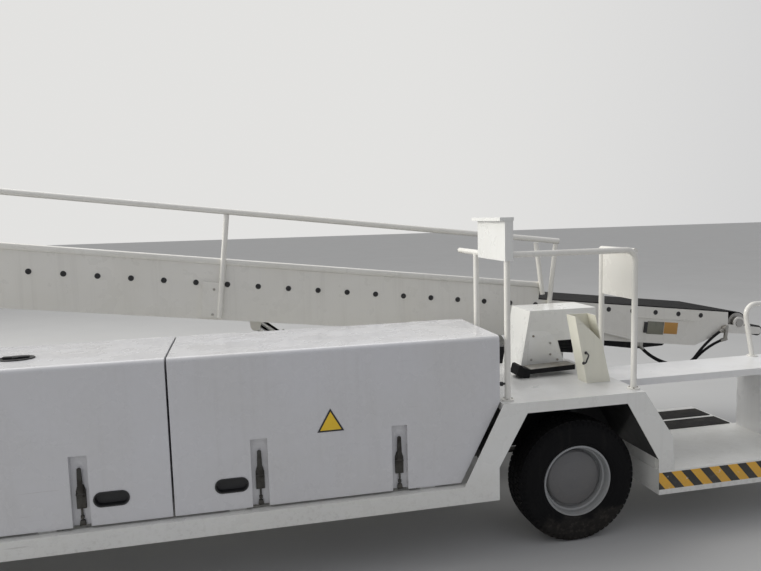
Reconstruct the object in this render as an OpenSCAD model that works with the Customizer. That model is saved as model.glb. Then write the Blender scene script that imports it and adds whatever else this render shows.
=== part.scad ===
// Self-propelled baggage belt loader, parked.
// The origin lies on the ground under the middle of the overall box.
// +X points to the loading end at the vehicle's rear, -Y to its left, driver's side, +Z up.

/* [Overall] */
// Length between the end rollers of the boom
overall_length = 8300; // [8250:10:8500]
// Width over the side frames
overall_width = 2050; // [2040:5:2120]

/* [Wheels] */
// Rear axle, from the middle of the overall box
rear_axle_x = 1950; // [1940:2:1960]
// Distance between the axles
wheelbase = 3800; // [3750:10:3850]
// Distance between the tyres' middles
track = 1760; // [1740:2:1780]
// Radius of the tyre, also the height of the wheel's centre
tyre_r = 341; // [335:1:345]
// Width of the tyre
tyre_w = 195; // [180:1:205]
// Radius of the rim's flange
rim_r = 208; // [200:1:215]
// Radius of the smooth hub cover
hub_cover_r = 155; // [130:1:160]
// Radius of the wheel spindle
spindle_r = 35; // [30:1:40]
// Radius of the axle beams
axle_r = 45; // [40:1:50]
// Kingpin, inwards from the tyre's middle
kingpin_inset = 130; // [125:1:140]

/* [Chassis] */
// Underside of the side sills
sill_z = 318; // [310:1:325]
// Height of the side sills
sill_h = 90; // [85:1:95]
// Depth of the side sills, across the vehicle
sill_w = 50; // [45:1:60]
// Front end of the body, ahead of the front axle
nose_reach = 750; // [730:5:780]
// Inner face of the main rails, from the middle line
rail_inset = 505; // [500:1:508]
// Width of a main rail
rail_w = 70; // [60:1:72]
// Underside of the main rails
rail_z = 430; // [428:1:436]
// Height of the main rails
rail_h = 130; // [120:1:140]
// Height of the cross members
cross_h = 60; // [50:1:65]
// Thickness of the sheet metal
sheet = 5; // [4:0.5:6]

/* [Operator station] */
// Floor of the operator's platform and top of the walkway
platform_z = 824; // [810:1:835]
// Depth of the platform's and the walkway's folded edge
platform_t = 40; // [35:1:45]
// Far edge of the platform, from the left side
platform_w = 870; // [860:1:880]
// Radius of the guard rail's tube
guard_r = 16; // [15:0.5:22]
// Top of the guard rail
guard_z = 1600; // [1550:1:1620]
// Height of the control box
control_h = 222; // [180:1:260]

/* [Rear deck] */
// Top of the low step deck
deck_z = 367; // [360:1:375]
// Height of the deck's striped edge
deck_h = 134; // [125:1:145]
// Width of the deck, across the vehicle
deck_w = 995; // [950:1:1010]
// Rear end of the deck, behind the rear axle
deck_reach = 1950; // [1900:5:1990]
// Rear end of the deck's far part, behind the rear axle
deck_far_reach = 1420; // [1400:5:1430]
// Left edge of the raised walkway, from the left side
walk_y = 250; // [240:1:260]
// Width of the raised walkway
walk_w = 320; // [300:1:340]

/* [Side covers] */
// Top of the covers
cover_z = 1175; // [1150:1:1200]
// Top width of the covers, from the left side
cover_w = 620; // [600:1:630]
// Set back of the covers' side from the sill's face
cover_inset = 35; // [30:1:40]
// Split between the two covers, ahead of the rear axle
cover_split = 2093; // [2080:1:2105]
// Gap round the covers
cover_gap = 10; // [8:0.5:12]

/* [Boom] */
// Slope of the parked boom
boom_angle = 6.6; // [5.8:0.1:7.2]
// Boom pivot, behind the rear axle
pivot_reach = 510; // [505:1:515]
// Height of the boom pivot
pivot_z = 846; // [840:1:860]
// Middle of the boom, to the right of the vehicle's middle
boom_y = 555; // [550:1:560]
// Width over the boom's side plates
boom_w = 760; // [750:2:770]
// Lower edge of the side plates, above the pivot
plate_low = 45; // [40:1:50]
// Upper edge of the side plates at the loading end, above the pivot
plate_mid = 312; // [305:1:318]
// Upper edge of the side guards, above the pivot
plate_top = 428; // [420:1:440]
// Upper edge of the right-hand guard, which stays hidden behind the left-hand one
right_guard_top = 365; // [355:1:375]
// Rear end of the high side guards, from the pivot
guard_end = -227; // [-240:1:-215]
// Height of the idler holes, above the pivot
idler_w = 275; // [272:1:278]
// Distance between the idlers
idler_pitch = 193.5; // [190:0.5:196]
// Radius of the end drums
drum_r = 75; // [70:1:78]
// Width of the belt
belt_w = 690; // [600:5:700]
// Thickness of the belt
belt_t = 6; // [5:0.5:7]
// Middle of the boom's handrail, above the pivot
handrail_w = 735; // [700:5:745]
// Radius of the handrail's tube
handrail_r = 19; // [17:0.5:20]
// Distance between the handrail's posts
post_pitch = 2260; // [2200:10:2300]
// Radius of the soft rollers at the boom's ends
bumper_r = 40; // [36:1:42]

/* [Lift] */
// Lift cylinder's lower pin, ahead of the rear axle
lift_foot_reach = 850; // [845:1:855]
// Height of the lower pin
lift_foot_z = 480; // [478:1:485]
// Upper pin on the boom, ahead of the pivot
lift_head_reach = 2175; // [2150:5:2200]
// Outer radius of the barrel
barrel_r = 45; // [40:1:48]
// Radius of the piston rod
rod_r = 25; // [20:1:28]
// Distance between the two cylinders
lift_spacing = 400; // [380:5:420]

/* [Hidden] */
$fn = 64;

paint = "ivory";
seam = 0.3;
half_l = overall_length / 2;
half_w = overall_width / 2;
half_track = track / 2;
front_axle_x = rear_axle_x - wheelbase;
sill_top = sill_z + sill_h;
nose_x = front_axle_x - nose_reach;
rail_top = rail_z + rail_h;
pivot_x = rear_axle_x + pivot_reach;
lift_foot_x = rear_axle_x - lift_foot_reach;

// Places across the vehicle, measured from the face of the left side frame
function from_left(y) = y - half_w;

// Outline of a wheel arch, as distances from its axle: the side towards the covers and the far side
arch_ceiling = 766;
arch_in_foot = 477;
arch_in_knee = 492;
arch_in_top = 320;
arch_out_foot = 455;
arch_out_knee = 433;
arch_out_top = 257;
skirt_in_foot = 666;
skirt_in_top = 450;
skirt_out_top = 359;
skirt_out_knee = [534, 560];
skirt_out_foot = 550;
arch_depth = half_w - rail_inset - rail_w - 20;

// A plate or block between two corners
module block(low, high) {
  translate(low) cube(high - low);
}

// A sheet with its outline in X and Z, from y towards the right by t
module side_sheet(y, t) {
  translate([0, y + t, 0]) rotate([90, 0, 0]) linear_extrude(t) children();
}

// A profile in Y and Z, drawn out along the vehicle from x0 to x1
module long_form(x0, x1) {
  translate([x0, 0, 0]) rotate([90, 0, 90]) linear_extrude(x1 - x0) children();
}

// A box's end view with its upper corners rounded, from y0 to y1 and z0 to z1
module crowned(y0, y1, z0, z1, r) {
  translate([y0, z0]) square([y1 - y0, z1 - z0 - r]);
  translate([y0 + r, z0]) square([y1 - y0 - 2 * r, z1 - z0]);
  for (y = [y0 + r, y1 - r])
    translate([y, z1 - r]) circle(r = r);
}

// A quarter bend of tube in an upright plane along the vehicle, round its own corner
module bend_xz(r_bend, r_tube, from) {
  rotate([90, 0, 0]) rotate([0, 0, from]) rotate_extrude(angle = 90) translate([r_bend, 0]) circle(r = r_tube);
}

// A round bar along X, Y or Z
module bar_x(x0, x1, r) {
  translate([x0, 0, 0]) rotate([0, 90, 0]) cylinder(r = r, h = x1 - x0);
}

module bar_y(y0, y1, r) {
  translate([0, y0, 0]) rotate([-90, 0, 0]) cylinder(r = r, h = y1 - y0);
}

// A round bar between two points of an upright plane along the vehicle, given as X and Z
module strut(a, b, r) {
  translate([a[0], 0, a[1]])
    rotate([0, atan2(b[0] - a[0], b[1] - a[1]), 0]) cylinder(r = r, h = norm(b - a));
}

// Both sides of the vehicle
module both_sides() {
  children();
  mirror([0, 1, 0]) children();
}

// The boom's own frame: X along the boom towards the loading end, Z square to its belt
module on_boom() {
  translate([pivot_x, boom_y, pivot_z]) rotate([0, boom_angle, 0]) children();
}

// The opening of an arch, from the ground to its ceiling
module arch_opening() {
  polygon([
    [-arch_in_foot, -1], [-arch_in_foot, arch_in_knee], [-arch_in_top, arch_ceiling],
    [arch_out_top, arch_ceiling], [arch_out_foot - 4, arch_out_knee], [arch_out_foot, -1]
  ]);
}

// Chassis

// Places of the cross members along the vehicle
cross_x = [nose_x + 120, front_axle_x + 560, -700, 150, lift_foot_x];
end_cross_x = rear_axle_x + 500;

module main_rails() {
  color(paint)
    both_sides()
      block([nose_x + 60, rail_inset, rail_z], [rear_axle_x + 550, rail_inset + rail_w, rail_top]);
}

module cross_members() {
  reach = half_w - sill_w;
  color(paint) {
    for (x = cross_x)
      block([x - 40, -reach, rail_z - cross_h], [x + 40, reach, rail_z]);
    block([end_cross_x - 40, -reach, deck_z], [end_cross_x + 40, reach, rail_z]);
  }
}

module side_sills() {
  x0 = front_axle_x + skirt_in_foot;
  x1 = rear_axle_x - skirt_in_foot;
  color(paint)
    both_sides()
      block([x0, half_w - sill_w, sill_z], [x1, half_w, sill_top]);
}

module rear_skirt() {
  difference() {
    polygon([
      [-skirt_in_foot, sill_z], [-skirt_in_foot, sill_top], [-skirt_in_top, platform_z],
      [skirt_out_top, platform_z], skirt_out_knee, [skirt_out_foot, deck_z],
      [arch_out_foot - 2, deck_z], [arch_out_foot - 2, sill_z]
    ]);
    arch_opening();
  }
}

module front_skirt() {
  difference() {
    polygon([
      [-skirt_in_foot, sill_z], [-skirt_in_foot, sill_top], [-skirt_in_top, platform_z],
      [nose_reach - 150, platform_z], [nose_reach, platform_z - 230], [nose_reach, sill_z]
    ]);
    arch_opening();
  }
}

// Frame plates round the wheel arches, with the ends of the sills
module side_skirts() {
  foot = half_w - sill_w;
  color(paint) {
    translate([rear_axle_x, 0, 0]) {
      both_sides() {
        side_sheet(half_w - sheet, sheet) rear_skirt();
        block([-skirt_in_foot, foot, sill_z], [-arch_in_foot, half_w - sheet, sill_top]);
      }
      block([arch_out_foot, foot, sill_z], [skirt_out_foot, half_w, deck_z]);
    }
    translate([front_axle_x, 0, 0]) mirror([1, 0, 0]) both_sides() {
      side_sheet(half_w - sheet, sheet) front_skirt();
      block([-skirt_in_foot, foot, sill_z], [-arch_in_foot, half_w - sheet, sill_top]);
      block([arch_out_foot, foot, sill_z], [nose_reach, half_w - sheet, sill_top]);
    }
  }
}

// What is left open under the lining
module below_lining() {
  translate([-arch_in_foot - 2 * sheet, -2 * sheet])
    square([arch_in_foot + arch_out_foot + 4 * sheet, rail_z + 5 + 2 * sheet]);
}

// Bent lining over each wheel
module lining() {
  difference() {
    offset(delta = sheet) arch_opening();
    arch_opening();
    below_lining();
  }
}

// The lining with the splash plate that closes it towards the main rail
module wheel_house(depth) {
  side_sheet(0, depth) lining();
  side_sheet(-sheet - seam, sheet)
    difference() {
      offset(delta = sheet) arch_opening();
      below_lining();
    }
}

module wheel_houses() {
  depth = arch_depth - sheet;
  color("dimgray") both_sides() {
    translate([rear_axle_x, half_w - arch_depth, 0]) wheel_house(depth);
    translate([front_axle_x, half_w - arch_depth, 0]) mirror([1, 0, 0]) wheel_house(depth);
  }
}

lamp_y = half_w - 265;
lamp_r = 75;
lamp_z = sill_top + 100;

module front_body() {
  inner = half_w - sheet;
  knee = platform_z - 230;
  color(paint) difference() {
    side_sheet(-inner, 2 * inner)
      polygon([
        [front_axle_x - 520, platform_z - sheet], [front_axle_x - 520, platform_z],
        [nose_x + 150, platform_z], [nose_x, knee], [nose_x, sill_top],
        [nose_x + sheet, sill_top], [nose_x + sheet, knee - 2], [nose_x + 150, platform_z - sheet]
      ]);
    for (y = [-lamp_y, lamp_y])
      translate([nose_x - 1, y, lamp_z]) bar_x(0, sheet + 2, lamp_r);
    for (z = [450 : 28 : 562])
      block([nose_x - 1, -280, z], [nose_x + sheet + 1, 280, z + 12]);
  }
  color(paint)
    block([front_axle_x - 520, -inner, platform_z - sheet], [front_axle_x + 450, inner, platform_z]);
}

// Headlamps in the front, side lamps beside them, and tail lamps at the rear
module lamps() {
  color("lightgray")
    for (y = [-lamp_y, lamp_y])
      translate([nose_x - 14, y, lamp_z]) {
        bar_x(0, 14, lamp_r + 8);
        bar_x(13, 60, lamp_r - seam);
      }
  color("orangered") {
    for (y = [-lamp_y, lamp_y])
      block([nose_x - 12, y - 55, sill_z + 86], [nose_x, y + 55, sill_z + 103]);
    block([end_cross_x + 40, half_w - 190, deck_z + 4], [end_cross_x + 56, half_w - 60, rail_z - 4]);
  }
}

// Front bumpers, from the towing beam's ends out to the body's sides
beam_half = 350;
bumper_y0 = beam_half - 35;
bumper_y1 = half_w - 50;

// Front bumpers with the towing clevis between them
module tow_hitch() {
  color("dimgray") {
    difference() {
      union() {
        block([nose_x - 110, -60, sill_z], [nose_x, 60, sill_z + 80]);
        translate([nose_x - 60, 0, sill_z]) cylinder(r = 60, h = 80);
      }
      block([nose_x - 141, -61, sill_z + 22], [nose_x - 20, 61, sill_z + 58]);
      translate([nose_x - 60, 0, sill_z - 1]) cylinder(r = 16, h = 100);
    }
    block([nose_x, -beam_half, sill_z], [nose_x + 80, beam_half, sill_top - 20]);
    both_sides()
      block([nose_x - 60, bumper_y0, sill_z + 4], [nose_x, bumper_y1, sill_z + 84]);
  }
}

// Axles and wheels

spring_half = 420;
leaf = 10;

// Leaf springs under the main rails, about an axle
module springs() {
  y0 = rail_inset + 5;
  y1 = rail_inset + rail_w - 5;
  seat = axle_r;
  top = rail_z - tyre_r;
  both_sides() {
    block([-60, y0, 0], [60, y1, top]);
    for (side = [-1, 1])
      block([side * spring_half - 25, y0, seat + leaf], [side * spring_half + 25, y1, top]);
    block([-spring_half - 25, y0, seat], [spring_half + 25, y1, seat + leaf]);
  }
}

module rear_axle() {
  beam = half_track - tyre_w / 2 + 20;
  color("dimgray") translate([rear_axle_x, 0, tyre_r]) {
    bar_y(-beam, beam, axle_r);
    both_sides() {
      bar_y(beam, beam + 15, 90);
      bar_y(beam, half_track + 40, spindle_r);
    }
    sphere(r = 110);
    springs();
  }
}

kingpin_y = half_track - kingpin_inset;
kingpin_r = 18;
yoke_h = 130;

module front_axle() {
  color("dimgray") translate([front_axle_x, 0, tyre_r]) {
    bar_y(-kingpin_y + 60, kingpin_y - 60, axle_r);
    both_sides() {
      for (z = [-yoke_h / 2, yoke_h / 2 - 25])
        block([-40, kingpin_y - 70, z], [40, kingpin_y + 30, z + 25]);
      block([-40, kingpin_y - 70, -yoke_h / 2], [40, kingpin_y - 50, yoke_h / 2]);
      translate([0, kingpin_y, -yoke_h / 2]) cylinder(r = kingpin_r, h = yoke_h);
    }
    springs();
  }
}

steer_arm = 150;

// Knuckle of the right side, about its kingpin
module knuckle() {
  clear = yoke_h / 2 - 25 - 1;
  translate([0, 0, tyre_r]) {
    difference() {
      union() {
        translate([0, 0, -clear]) cylinder(r = 32, h = 2 * clear);
        bar_y(0, kingpin_inset + 40, spindle_r);
        bar_y(kingpin_inset - tyre_w / 2 + 20, kingpin_inset - tyre_w / 2 + 35, 80);
      }
      translate([0, 0, -clear - 1]) cylinder(r = kingpin_r + 0.3, h = 2 * clear + 2);
    }
    difference() {
      block([0, -15, -clear], [steer_arm + 20, 15, -clear + 16]);
      translate([0, 0, -clear - 1]) cylinder(r = kingpin_r + 0.3, h = 2 * clear + 2);
    }
  }
}

module right_knuckle() {
  color("slategray") translate([front_axle_x, kingpin_y, 0]) knuckle();
}

module left_knuckle() {
  color("slategray") translate([front_axle_x, -kingpin_y, 0]) mirror([0, 1, 0]) knuckle();
}

module tie_rod() {
  z = tyre_r - yoke_h / 2 + 25 + 1 - seam;
  color("silver") translate([front_axle_x + steer_arm, 0, z - 12]) {
    translate([0, 0, 0]) bar_y(-kingpin_y, kingpin_y, 11.5);
    both_sides() translate([0, kingpin_y, -12]) cylinder(r = 20, h = 24);
  }
}

module tyre_shape() {
  shoulder = 38;
  color("black")
    rotate([-90, 0, 0])
      rotate_extrude($fn = 96)
        polygon([
          [rim_r - 12, -tyre_w / 2 + 22], [rim_r + 10, -tyre_w / 2 + 4],
          [rim_r + 60, -tyre_w / 2], [tyre_r - shoulder, -tyre_w / 2 + 6],
          [tyre_r - 8, -tyre_w / 2 + 24], [tyre_r, -tyre_w / 2 + 45],
          [tyre_r, tyre_w / 2 - 45], [tyre_r - 8, tyre_w / 2 - 24],
          [tyre_r - shoulder, tyre_w / 2 - 6], [rim_r + 60, tyre_w / 2],
          [rim_r + 10, tyre_w / 2 - 4], [rim_r - 12, tyre_w / 2 - 22]
        ]);
}

// Wheel of the left side, its outer face towards -Y
module wheel_shape() {
  half = tyre_w / 2 - 14;
  lip = 12;
  color("gainsboro")
    rotate([90, 0, 0])
      rotate_extrude($fn = 96)
        polygon([
          [spindle_r + seam, -half + 60], [spindle_r + 40, -half + 60], [spindle_r + 40, 10],
          [rim_r - 40, 10], [rim_r - 30, -half + 6], [rim_r - lip, -half],
          [rim_r - lip, -half + 8], [rim_r - 18, -half + 14], [rim_r - 18, half - 14],
          [rim_r - lip, half - 8], [rim_r - lip, half], [rim_r - lip - 10, half],
          [rim_r - 28, half - 14], [rim_r - 30, half - 34], [rim_r - 38, half - 38],
          [rim_r - 43, 18], [hub_cover_r + 1.5, 14], [hub_cover_r, 16], [hub_cover_r, 32],
          [hub_cover_r - 8, 38], [hub_cover_r - 58, 46], [spindle_r + 5, 50], [0, 51], [0, 44],
          [spindle_r + seam, 44]
        ]);
}

module left_corner(x) {
  translate([x, -half_track, tyre_r]) children();
}

module right_corner(x) {
  translate([x, half_track, tyre_r]) mirror([0, 1, 0]) children();
}

module rear_left_tyre() { left_corner(rear_axle_x) tyre_shape(); }
module rear_left_wheel() { left_corner(rear_axle_x) wheel_shape(); }
module rear_right_tyre() { right_corner(rear_axle_x) tyre_shape(); }
module rear_right_wheel() { right_corner(rear_axle_x) wheel_shape(); }
module front_left_tyre() { left_corner(front_axle_x) tyre_shape(); }
module front_left_wheel() { left_corner(front_axle_x) wheel_shape(); }
module front_right_tyre() { right_corner(front_axle_x) tyre_shape(); }
module front_right_wheel() { right_corner(front_axle_x) wheel_shape(); }

// Operator station

platform_x0 = rear_axle_x - skirt_in_top;
platform_x1 = rear_axle_x + skirt_out_top;

module platform() {
  color(paint)
    block([platform_x0, -half_w + sheet, platform_z - platform_t],
          [platform_x1, from_left(platform_w), platform_z]);
}

deck_x0 = rear_axle_x + arch_out_foot;
deck_x1 = rear_axle_x + deck_reach;
deck_far_x1 = rear_axle_x + deck_far_reach;
deck_near_w = walk_y + walk_w + 20;

// The deck seen from above, with its far part shorter, or its inside at the sheet's thickness
module deck_plan(wall) {
  polygon([
    [deck_x0 + wall, -half_w + wall], [deck_x1 - wall, -half_w + wall],
    [deck_x1 - wall, from_left(deck_near_w) - wall], [deck_far_x1 - wall, from_left(deck_near_w) - wall],
    [deck_far_x1 - wall, from_left(deck_w) - wall], [deck_x0 + wall, from_left(deck_w) - wall]
  ]);
}

module rear_deck() {
  z0 = deck_z - deck_h;
  ribs = [[walk_y + 40, deck_x1], [walk_y + walk_w + 40, deck_far_x1]];
  color(paint) {
    difference() {
      translate([0, 0, z0]) linear_extrude(deck_h) deck_plan(0);
      translate([0, 0, z0 - 1]) linear_extrude(deck_h + 1 - sheet) deck_plan(sheet);
    }
    for (rib = ribs)
      block([deck_x0 + sheet, from_left(rib[0]), z0 + 20],
            [rib[1] - sheet, from_left(rib[0]) + 50, deck_z - sheet]);
  }
}

// Anti-slip strips on the deck: distance from the left side to each strip's near edge
tread_y = [deck_near_w, deck_near_w + 190];
tread_margin = 20;

module deck_treads() {
  x0 = rear_axle_x + skirt_out_foot + 150;
  x1 = deck_far_x1 - tread_margin;
  color("black")
    for (y = tread_y)
      block([x0, from_left(y), deck_z], [x1, from_left(y) + 150, deck_z + 5]);
}

pedestal_reach = 1430;

// Raised walkway behind the platform, on its pedestal
module walkway() {
  x1 = rear_axle_x + deck_reach;
  color(paint) {
    block([platform_x1, from_left(walk_y), platform_z - platform_t],
          [x1, from_left(walk_y + walk_w), platform_z]);
    block([rear_axle_x + pedestal_reach, from_left(walk_y), deck_z],
          [x1, from_left(walk_y + walk_w), platform_z - platform_t + 1]);
  }
}

hoop_r = 16;
hoop_z = 1168;

module grab_hoop() {
  y = from_left(walk_y + walk_w - 25);
  x0 = rear_axle_x + pedestal_reach + 60;
  x1 = rear_axle_x + deck_reach - 60;
  bend = 70;
  color(paint) {
    for (x = [x0, x1])
      translate([x, y, platform_z]) cylinder(r = hoop_r, h = hoop_z - bend - platform_z);
    translate([0, y, hoop_z]) bar_x(x0 + bend, x1 - bend, hoop_r);
    translate([x0 + bend, y, hoop_z - bend]) bend_xz(bend, hoop_r, 90);
    translate([x1 - bend, y, hoop_z - bend]) bend_xz(bend, hoop_r, 0);
    for (x = [x0, x1])
      translate([x, y, platform_z]) cylinder(r = hoop_r + 16, h = 6);
  }
}

rail_front_x = rear_axle_x - 400;
rail_rear_x = rear_axle_x + 335;
rail_near = 70;
front_post_far = 515;
rear_post_far = 400;
front_bar_end = 790;
top_bar_z = guard_z - guard_r;
cross_bar_z = top_bar_z - guard_r / 2;

// Control box at the near front corner, with the near post under it and the bars held in it
box_wall = 6;
box_half = guard_r + seam + box_wall;
box_y0 = from_left(rail_near) - 30;
box_y1 = box_y0 + 385;
box_z0 = cross_bar_z - box_half;
box_grip = 60;
lid_h = 18;
lid_front = 28;

module guard_rail() {
  near = from_left(rail_near);
  bend = 55;
  posts = [[rail_front_x, rail_near, box_z0 - seam], [rail_front_x, front_post_far, cross_bar_z],
           [rail_rear_x, rail_near, top_bar_z - bend], [rail_rear_x, rear_post_far, cross_bar_z]];
  color(paint) {
    for (p = posts)
      translate([p[0], from_left(p[1]), platform_z]) {
        cylinder(r = guard_r, h = p[2] - platform_z);
        cylinder(r = guard_r + 18, h = 7);
      }
    translate([0, near, top_bar_z])
      bar_x(rail_front_x + box_half + seam, rail_rear_x - bend, guard_r);
    translate([rail_rear_x - bend, near, top_bar_z - bend]) bend_xz(bend, guard_r, 0);
    translate([rail_front_x, 0, cross_bar_z])
      bar_y(box_y1 - box_grip + seam, from_left(front_bar_end), guard_r);
    translate([rail_rear_x, 0, cross_bar_z]) bar_y(near, from_left(rear_post_far), guard_r);
    translate([rail_rear_x, from_left(rear_post_far), cross_bar_z]) sphere(r = guard_r);
    block([rail_rear_x - 4, near, guard_z - 285],
          [rail_rear_x + 4, from_left(rear_post_far), cross_bar_z]);
  }
}

module control_box() {
  lid_z = box_z0 + control_h - lid_h;
  color(paint) {
    difference() {
      block([rail_front_x - box_half, box_y0, box_z0], [rail_front_x + box_half, box_y1, lid_z]);
      translate([rail_front_x, 0, cross_bar_z])
        bar_y(box_y1 - box_grip, box_y1 + 1, guard_r + seam);
    }
    block([rail_front_x - box_half - lid_front, box_y0 - 3, lid_z],
          [rail_front_x + box_half + 3, box_y1 + 20, lid_z + lid_h]);
  }
}

// Inclined column: its near face as distances behind the rear axle, then heights
column_y0 = 250;
column_y1 = 350;
column_top_z = 1210;
column_top = [83, 215];
column_foot = [160, 305];

module column_outline(inset) {
  polygon([
    [column_top[0] + inset, column_top_z + (inset > 0 ? 1 : 0)],
    [column_top[1] - inset, column_top_z + (inset > 0 ? 1 : 0)],
    [column_foot[1] - inset, platform_z + inset], [column_foot[0] + inset, platform_z + inset]
  ]);
}

module control_column() {
  y0 = from_left(column_y0);
  y1 = from_left(column_y1);
  color("cornsilk") translate([rear_axle_x, 0, 0]) {
    difference() {
      side_sheet(y0, y1 - y0) column_outline(0);
      side_sheet(y0 + sheet, y1 - y0 - 2 * sheet) column_outline(sheet);
      side_sheet(y0 - 1, sheet + 2)
        polygon([[column_top[0] + 7, column_top_z + 1], [column_top[1] + 46, column_top_z + 1],
                 [column_top[1] + 46, column_top_z - 160]]);
    }
  }
}

module foot_pedal() {
  y0 = from_left(460);
  color("black") translate([rear_axle_x, 0, 0])
    side_sheet(y0, 100)
      polygon([
        [-175, platform_z + 22], [-130, platform_z], [-95, platform_z], [-90, platform_z + 22],
        [200, platform_z + 30], [200, platform_z + 60], [-90, platform_z + 50],
        [-130, platform_z + 62], [-145, platform_z + 78], [-160, platform_z + 76]
      ]);
}

console_z = 1200;
console_low = 1008;

module side_console() {
  y0 = from_left(600);
  y1 = from_left(platform_w);
  color(paint) translate([rear_axle_x, 0, 0])
    side_sheet(y0, y1 - y0)
      polygon([
        [-92, platform_z], [-24, console_z], [415, console_z], [415, console_low],
        [158, console_low], [210, platform_z]
      ]);
}

// Power pack and covers

cover_x1 = rear_axle_x - skirt_in_top - 8;
cover_split_x = rear_axle_x - cover_split;
cover_x0 = front_axle_x + skirt_in_top + 8;
cover_y0 = from_left(cover_inset);
cover_y1 = from_left(cover_w);
cover_foot = sill_top + 12;
hinge_y = cover_y1 + 14;
hinge_z = cover_z - 9;
wall_y = hinge_y + 12;

// Engine behind the rear cover and battery with pump behind the front one, as plain blocks
pack_room = 150;
engine_h = 470;
battery_h = 430;

module power_pack() {
  y0 = cover_y0 + 90;
  y1 = -rail_inset - rail_w;
  color("dimgray") {
    block([cover_split_x + pack_room, y0, rail_z], [cover_x1 - 2 * pack_room, y1, rail_z + engine_h]);
    block([cover_x0 + 2 * pack_room, y0, rail_z], [cover_split_x - pack_room, y1, rail_z + battery_h]);
  }
}

walkway_top = rail_top + 30;
knuckle_r = 8;
hinge_x = [cover_x0 + 200, cover_split_x - 200, cover_split_x + 200, cover_x1 - 200];

// Inner wall that the covers hinge on, and the floor beside the boom
module cover_frame() {
  color(paint) {
    block([cover_x0, -rail_inset - rail_w, rail_top], [cover_x1, 110, walkway_top]);
    block([cover_x0, wall_y, rail_top], [cover_x1, wall_y + sheet, hinge_z]);
    for (x = [cross_x[2], cross_x[3], cross_x[4]])
      block([x - 30, 50, rail_z], [x + 30, 110, rail_top + 1]);
    for (x = hinge_x, side = [-1, 1])
      translate([x, 0, 0]) {
        from = side < 0 ? -120 : 60 + seam;
        translate([0, hinge_y, hinge_z]) bar_x(from, from + 60 - seam, knuckle_r);
        block([from, hinge_y, hinge_z - knuckle_r], [from + 60 - seam, wall_y + 1, hinge_z]);
      }
  }
}

// Middles of the latch recesses and of the hand hole, from the split
rear_latch_at = [399, 1093];
front_latch_at = [399, 900];
latch_w = 80;
latch_top = 755;
latch_depth = 28;
hand_hole_at = 265;
hand_hole_z = 540;
hand_hole_w = 150;
hand_hole_h = 64;
notch_y = -rail_inset - rail_w - 25;

cover_crown = 22;

// A cover's outside, or its inside at the sheet's thickness, open underneath and at the back
module cover_body(x_end, x_mid, dir, wall) {
  open = wall > 0 ? 1 : 0;
  intersection() {
    side_sheet(cover_y0 + wall, cover_y1 - cover_y0 - wall + open)
      polygon([
        [x_mid + dir * wall, cover_foot - open], [x_mid + dir * wall, cover_z - wall],
        [x_end - dir * wall, cover_z - wall], [x_end - dir * wall, platform_z + 3],
        [x_end - dir * (skirt_in_foot - skirt_in_top + wall), cover_foot - open]
      ]);
    long_form(min(x_end, x_mid) - 1, max(x_end, x_mid) + 1)
      crowned(cover_y0 + wall, cover_y1 + 2 * cover_crown, cover_foot - open, cover_z - wall,
              cover_crown - wall);
  }
}

module cover_shell(x_end, x_mid, dir, latch_at) {
  x0 = min(x_end, x_mid);
  x1 = max(x_end, x_mid);
  back = cover_y0 + latch_depth;
  color(paint) difference() {
    union() {
      difference() {
        cover_body(x_end, x_mid, dir, 0);
        cover_body(x_end, x_mid, dir, sheet);
        block([x0 - 1, notch_y, 0], [x1 + 1, cover_y1 + 1, walkway_top + 10]);
      }
      for (at = latch_at)
        block([x_mid + dir * at - latch_w / 2 - 3, cover_y0 + 2, cover_foot],
              [x_mid + dir * at + latch_w / 2 + 3, back + 3, latch_top + 3]);
    }
    for (at = latch_at)
      block([x_mid + dir * at - latch_w / 2, cover_y0 - 1, cover_foot - 1],
            [x_mid + dir * at + latch_w / 2, back, latch_top]);
    for (side = [-1, 1])
      translate([x_mid + dir * hand_hole_at + side * (hand_hole_w - hand_hole_h) / 2,
                 cover_y0 - 1, hand_hole_z])
        bar_y(0, sheet + 2, hand_hole_h / 2);
    block([x_mid + dir * hand_hole_at - (hand_hole_w - hand_hole_h) / 2,
           cover_y0 - 1, hand_hole_z - hand_hole_h / 2],
          [x_mid + dir * hand_hole_at + (hand_hole_w - hand_hole_h) / 2,
           cover_y0 + sheet + 1, hand_hole_z + hand_hole_h / 2]);
  }
}

// Over-centre latch in its recess
module latches(x_mid, dir, latch_at) {
  back = cover_y0 + latch_depth;
  color("gray")
    for (at = latch_at)
      translate([x_mid + dir * at, 0, 0]) {
        block([-14, back - 10, 510], [14, back, 600]);
        block([-9, back - 18, 560], [9, back - 9, 690]);
      }
}

// Knuckles of a cover's hinge, with the straps that join them to its top
module cover_hinges(places) {
  for (x = places)
    translate([x, 0, 0]) {
      translate([0, hinge_y, hinge_z]) bar_x(-60, 60, knuckle_r);
      block([-60, cover_y1 - 20, hinge_z], [60, hinge_y, cover_z - sheet + 1]);
    }
}

module rear_cover() {
  x_mid = cover_split_x + cover_gap / 2;
  cover_shell(cover_x1, x_mid, 1, rear_latch_at);
  latches(x_mid, 1, rear_latch_at);
  color(paint) cover_hinges([hinge_x[2], hinge_x[3]]);
}

module front_cover() {
  x_mid = cover_split_x - cover_gap / 2;
  cover_shell(cover_x0, x_mid, -1, front_latch_at);
  latches(x_mid, -1, front_latch_at);
  color(paint) cover_hinges([hinge_x[0], hinge_x[1]]);
}

// Lockers under the boom on the right side, each with a raised door
locker_x = [front_axle_x + skirt_in_top + 60, cover_split_x - 10, cover_split_x + 10,
            rear_axle_x - skirt_in_top - 60];
lift_clear = 30;

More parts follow.
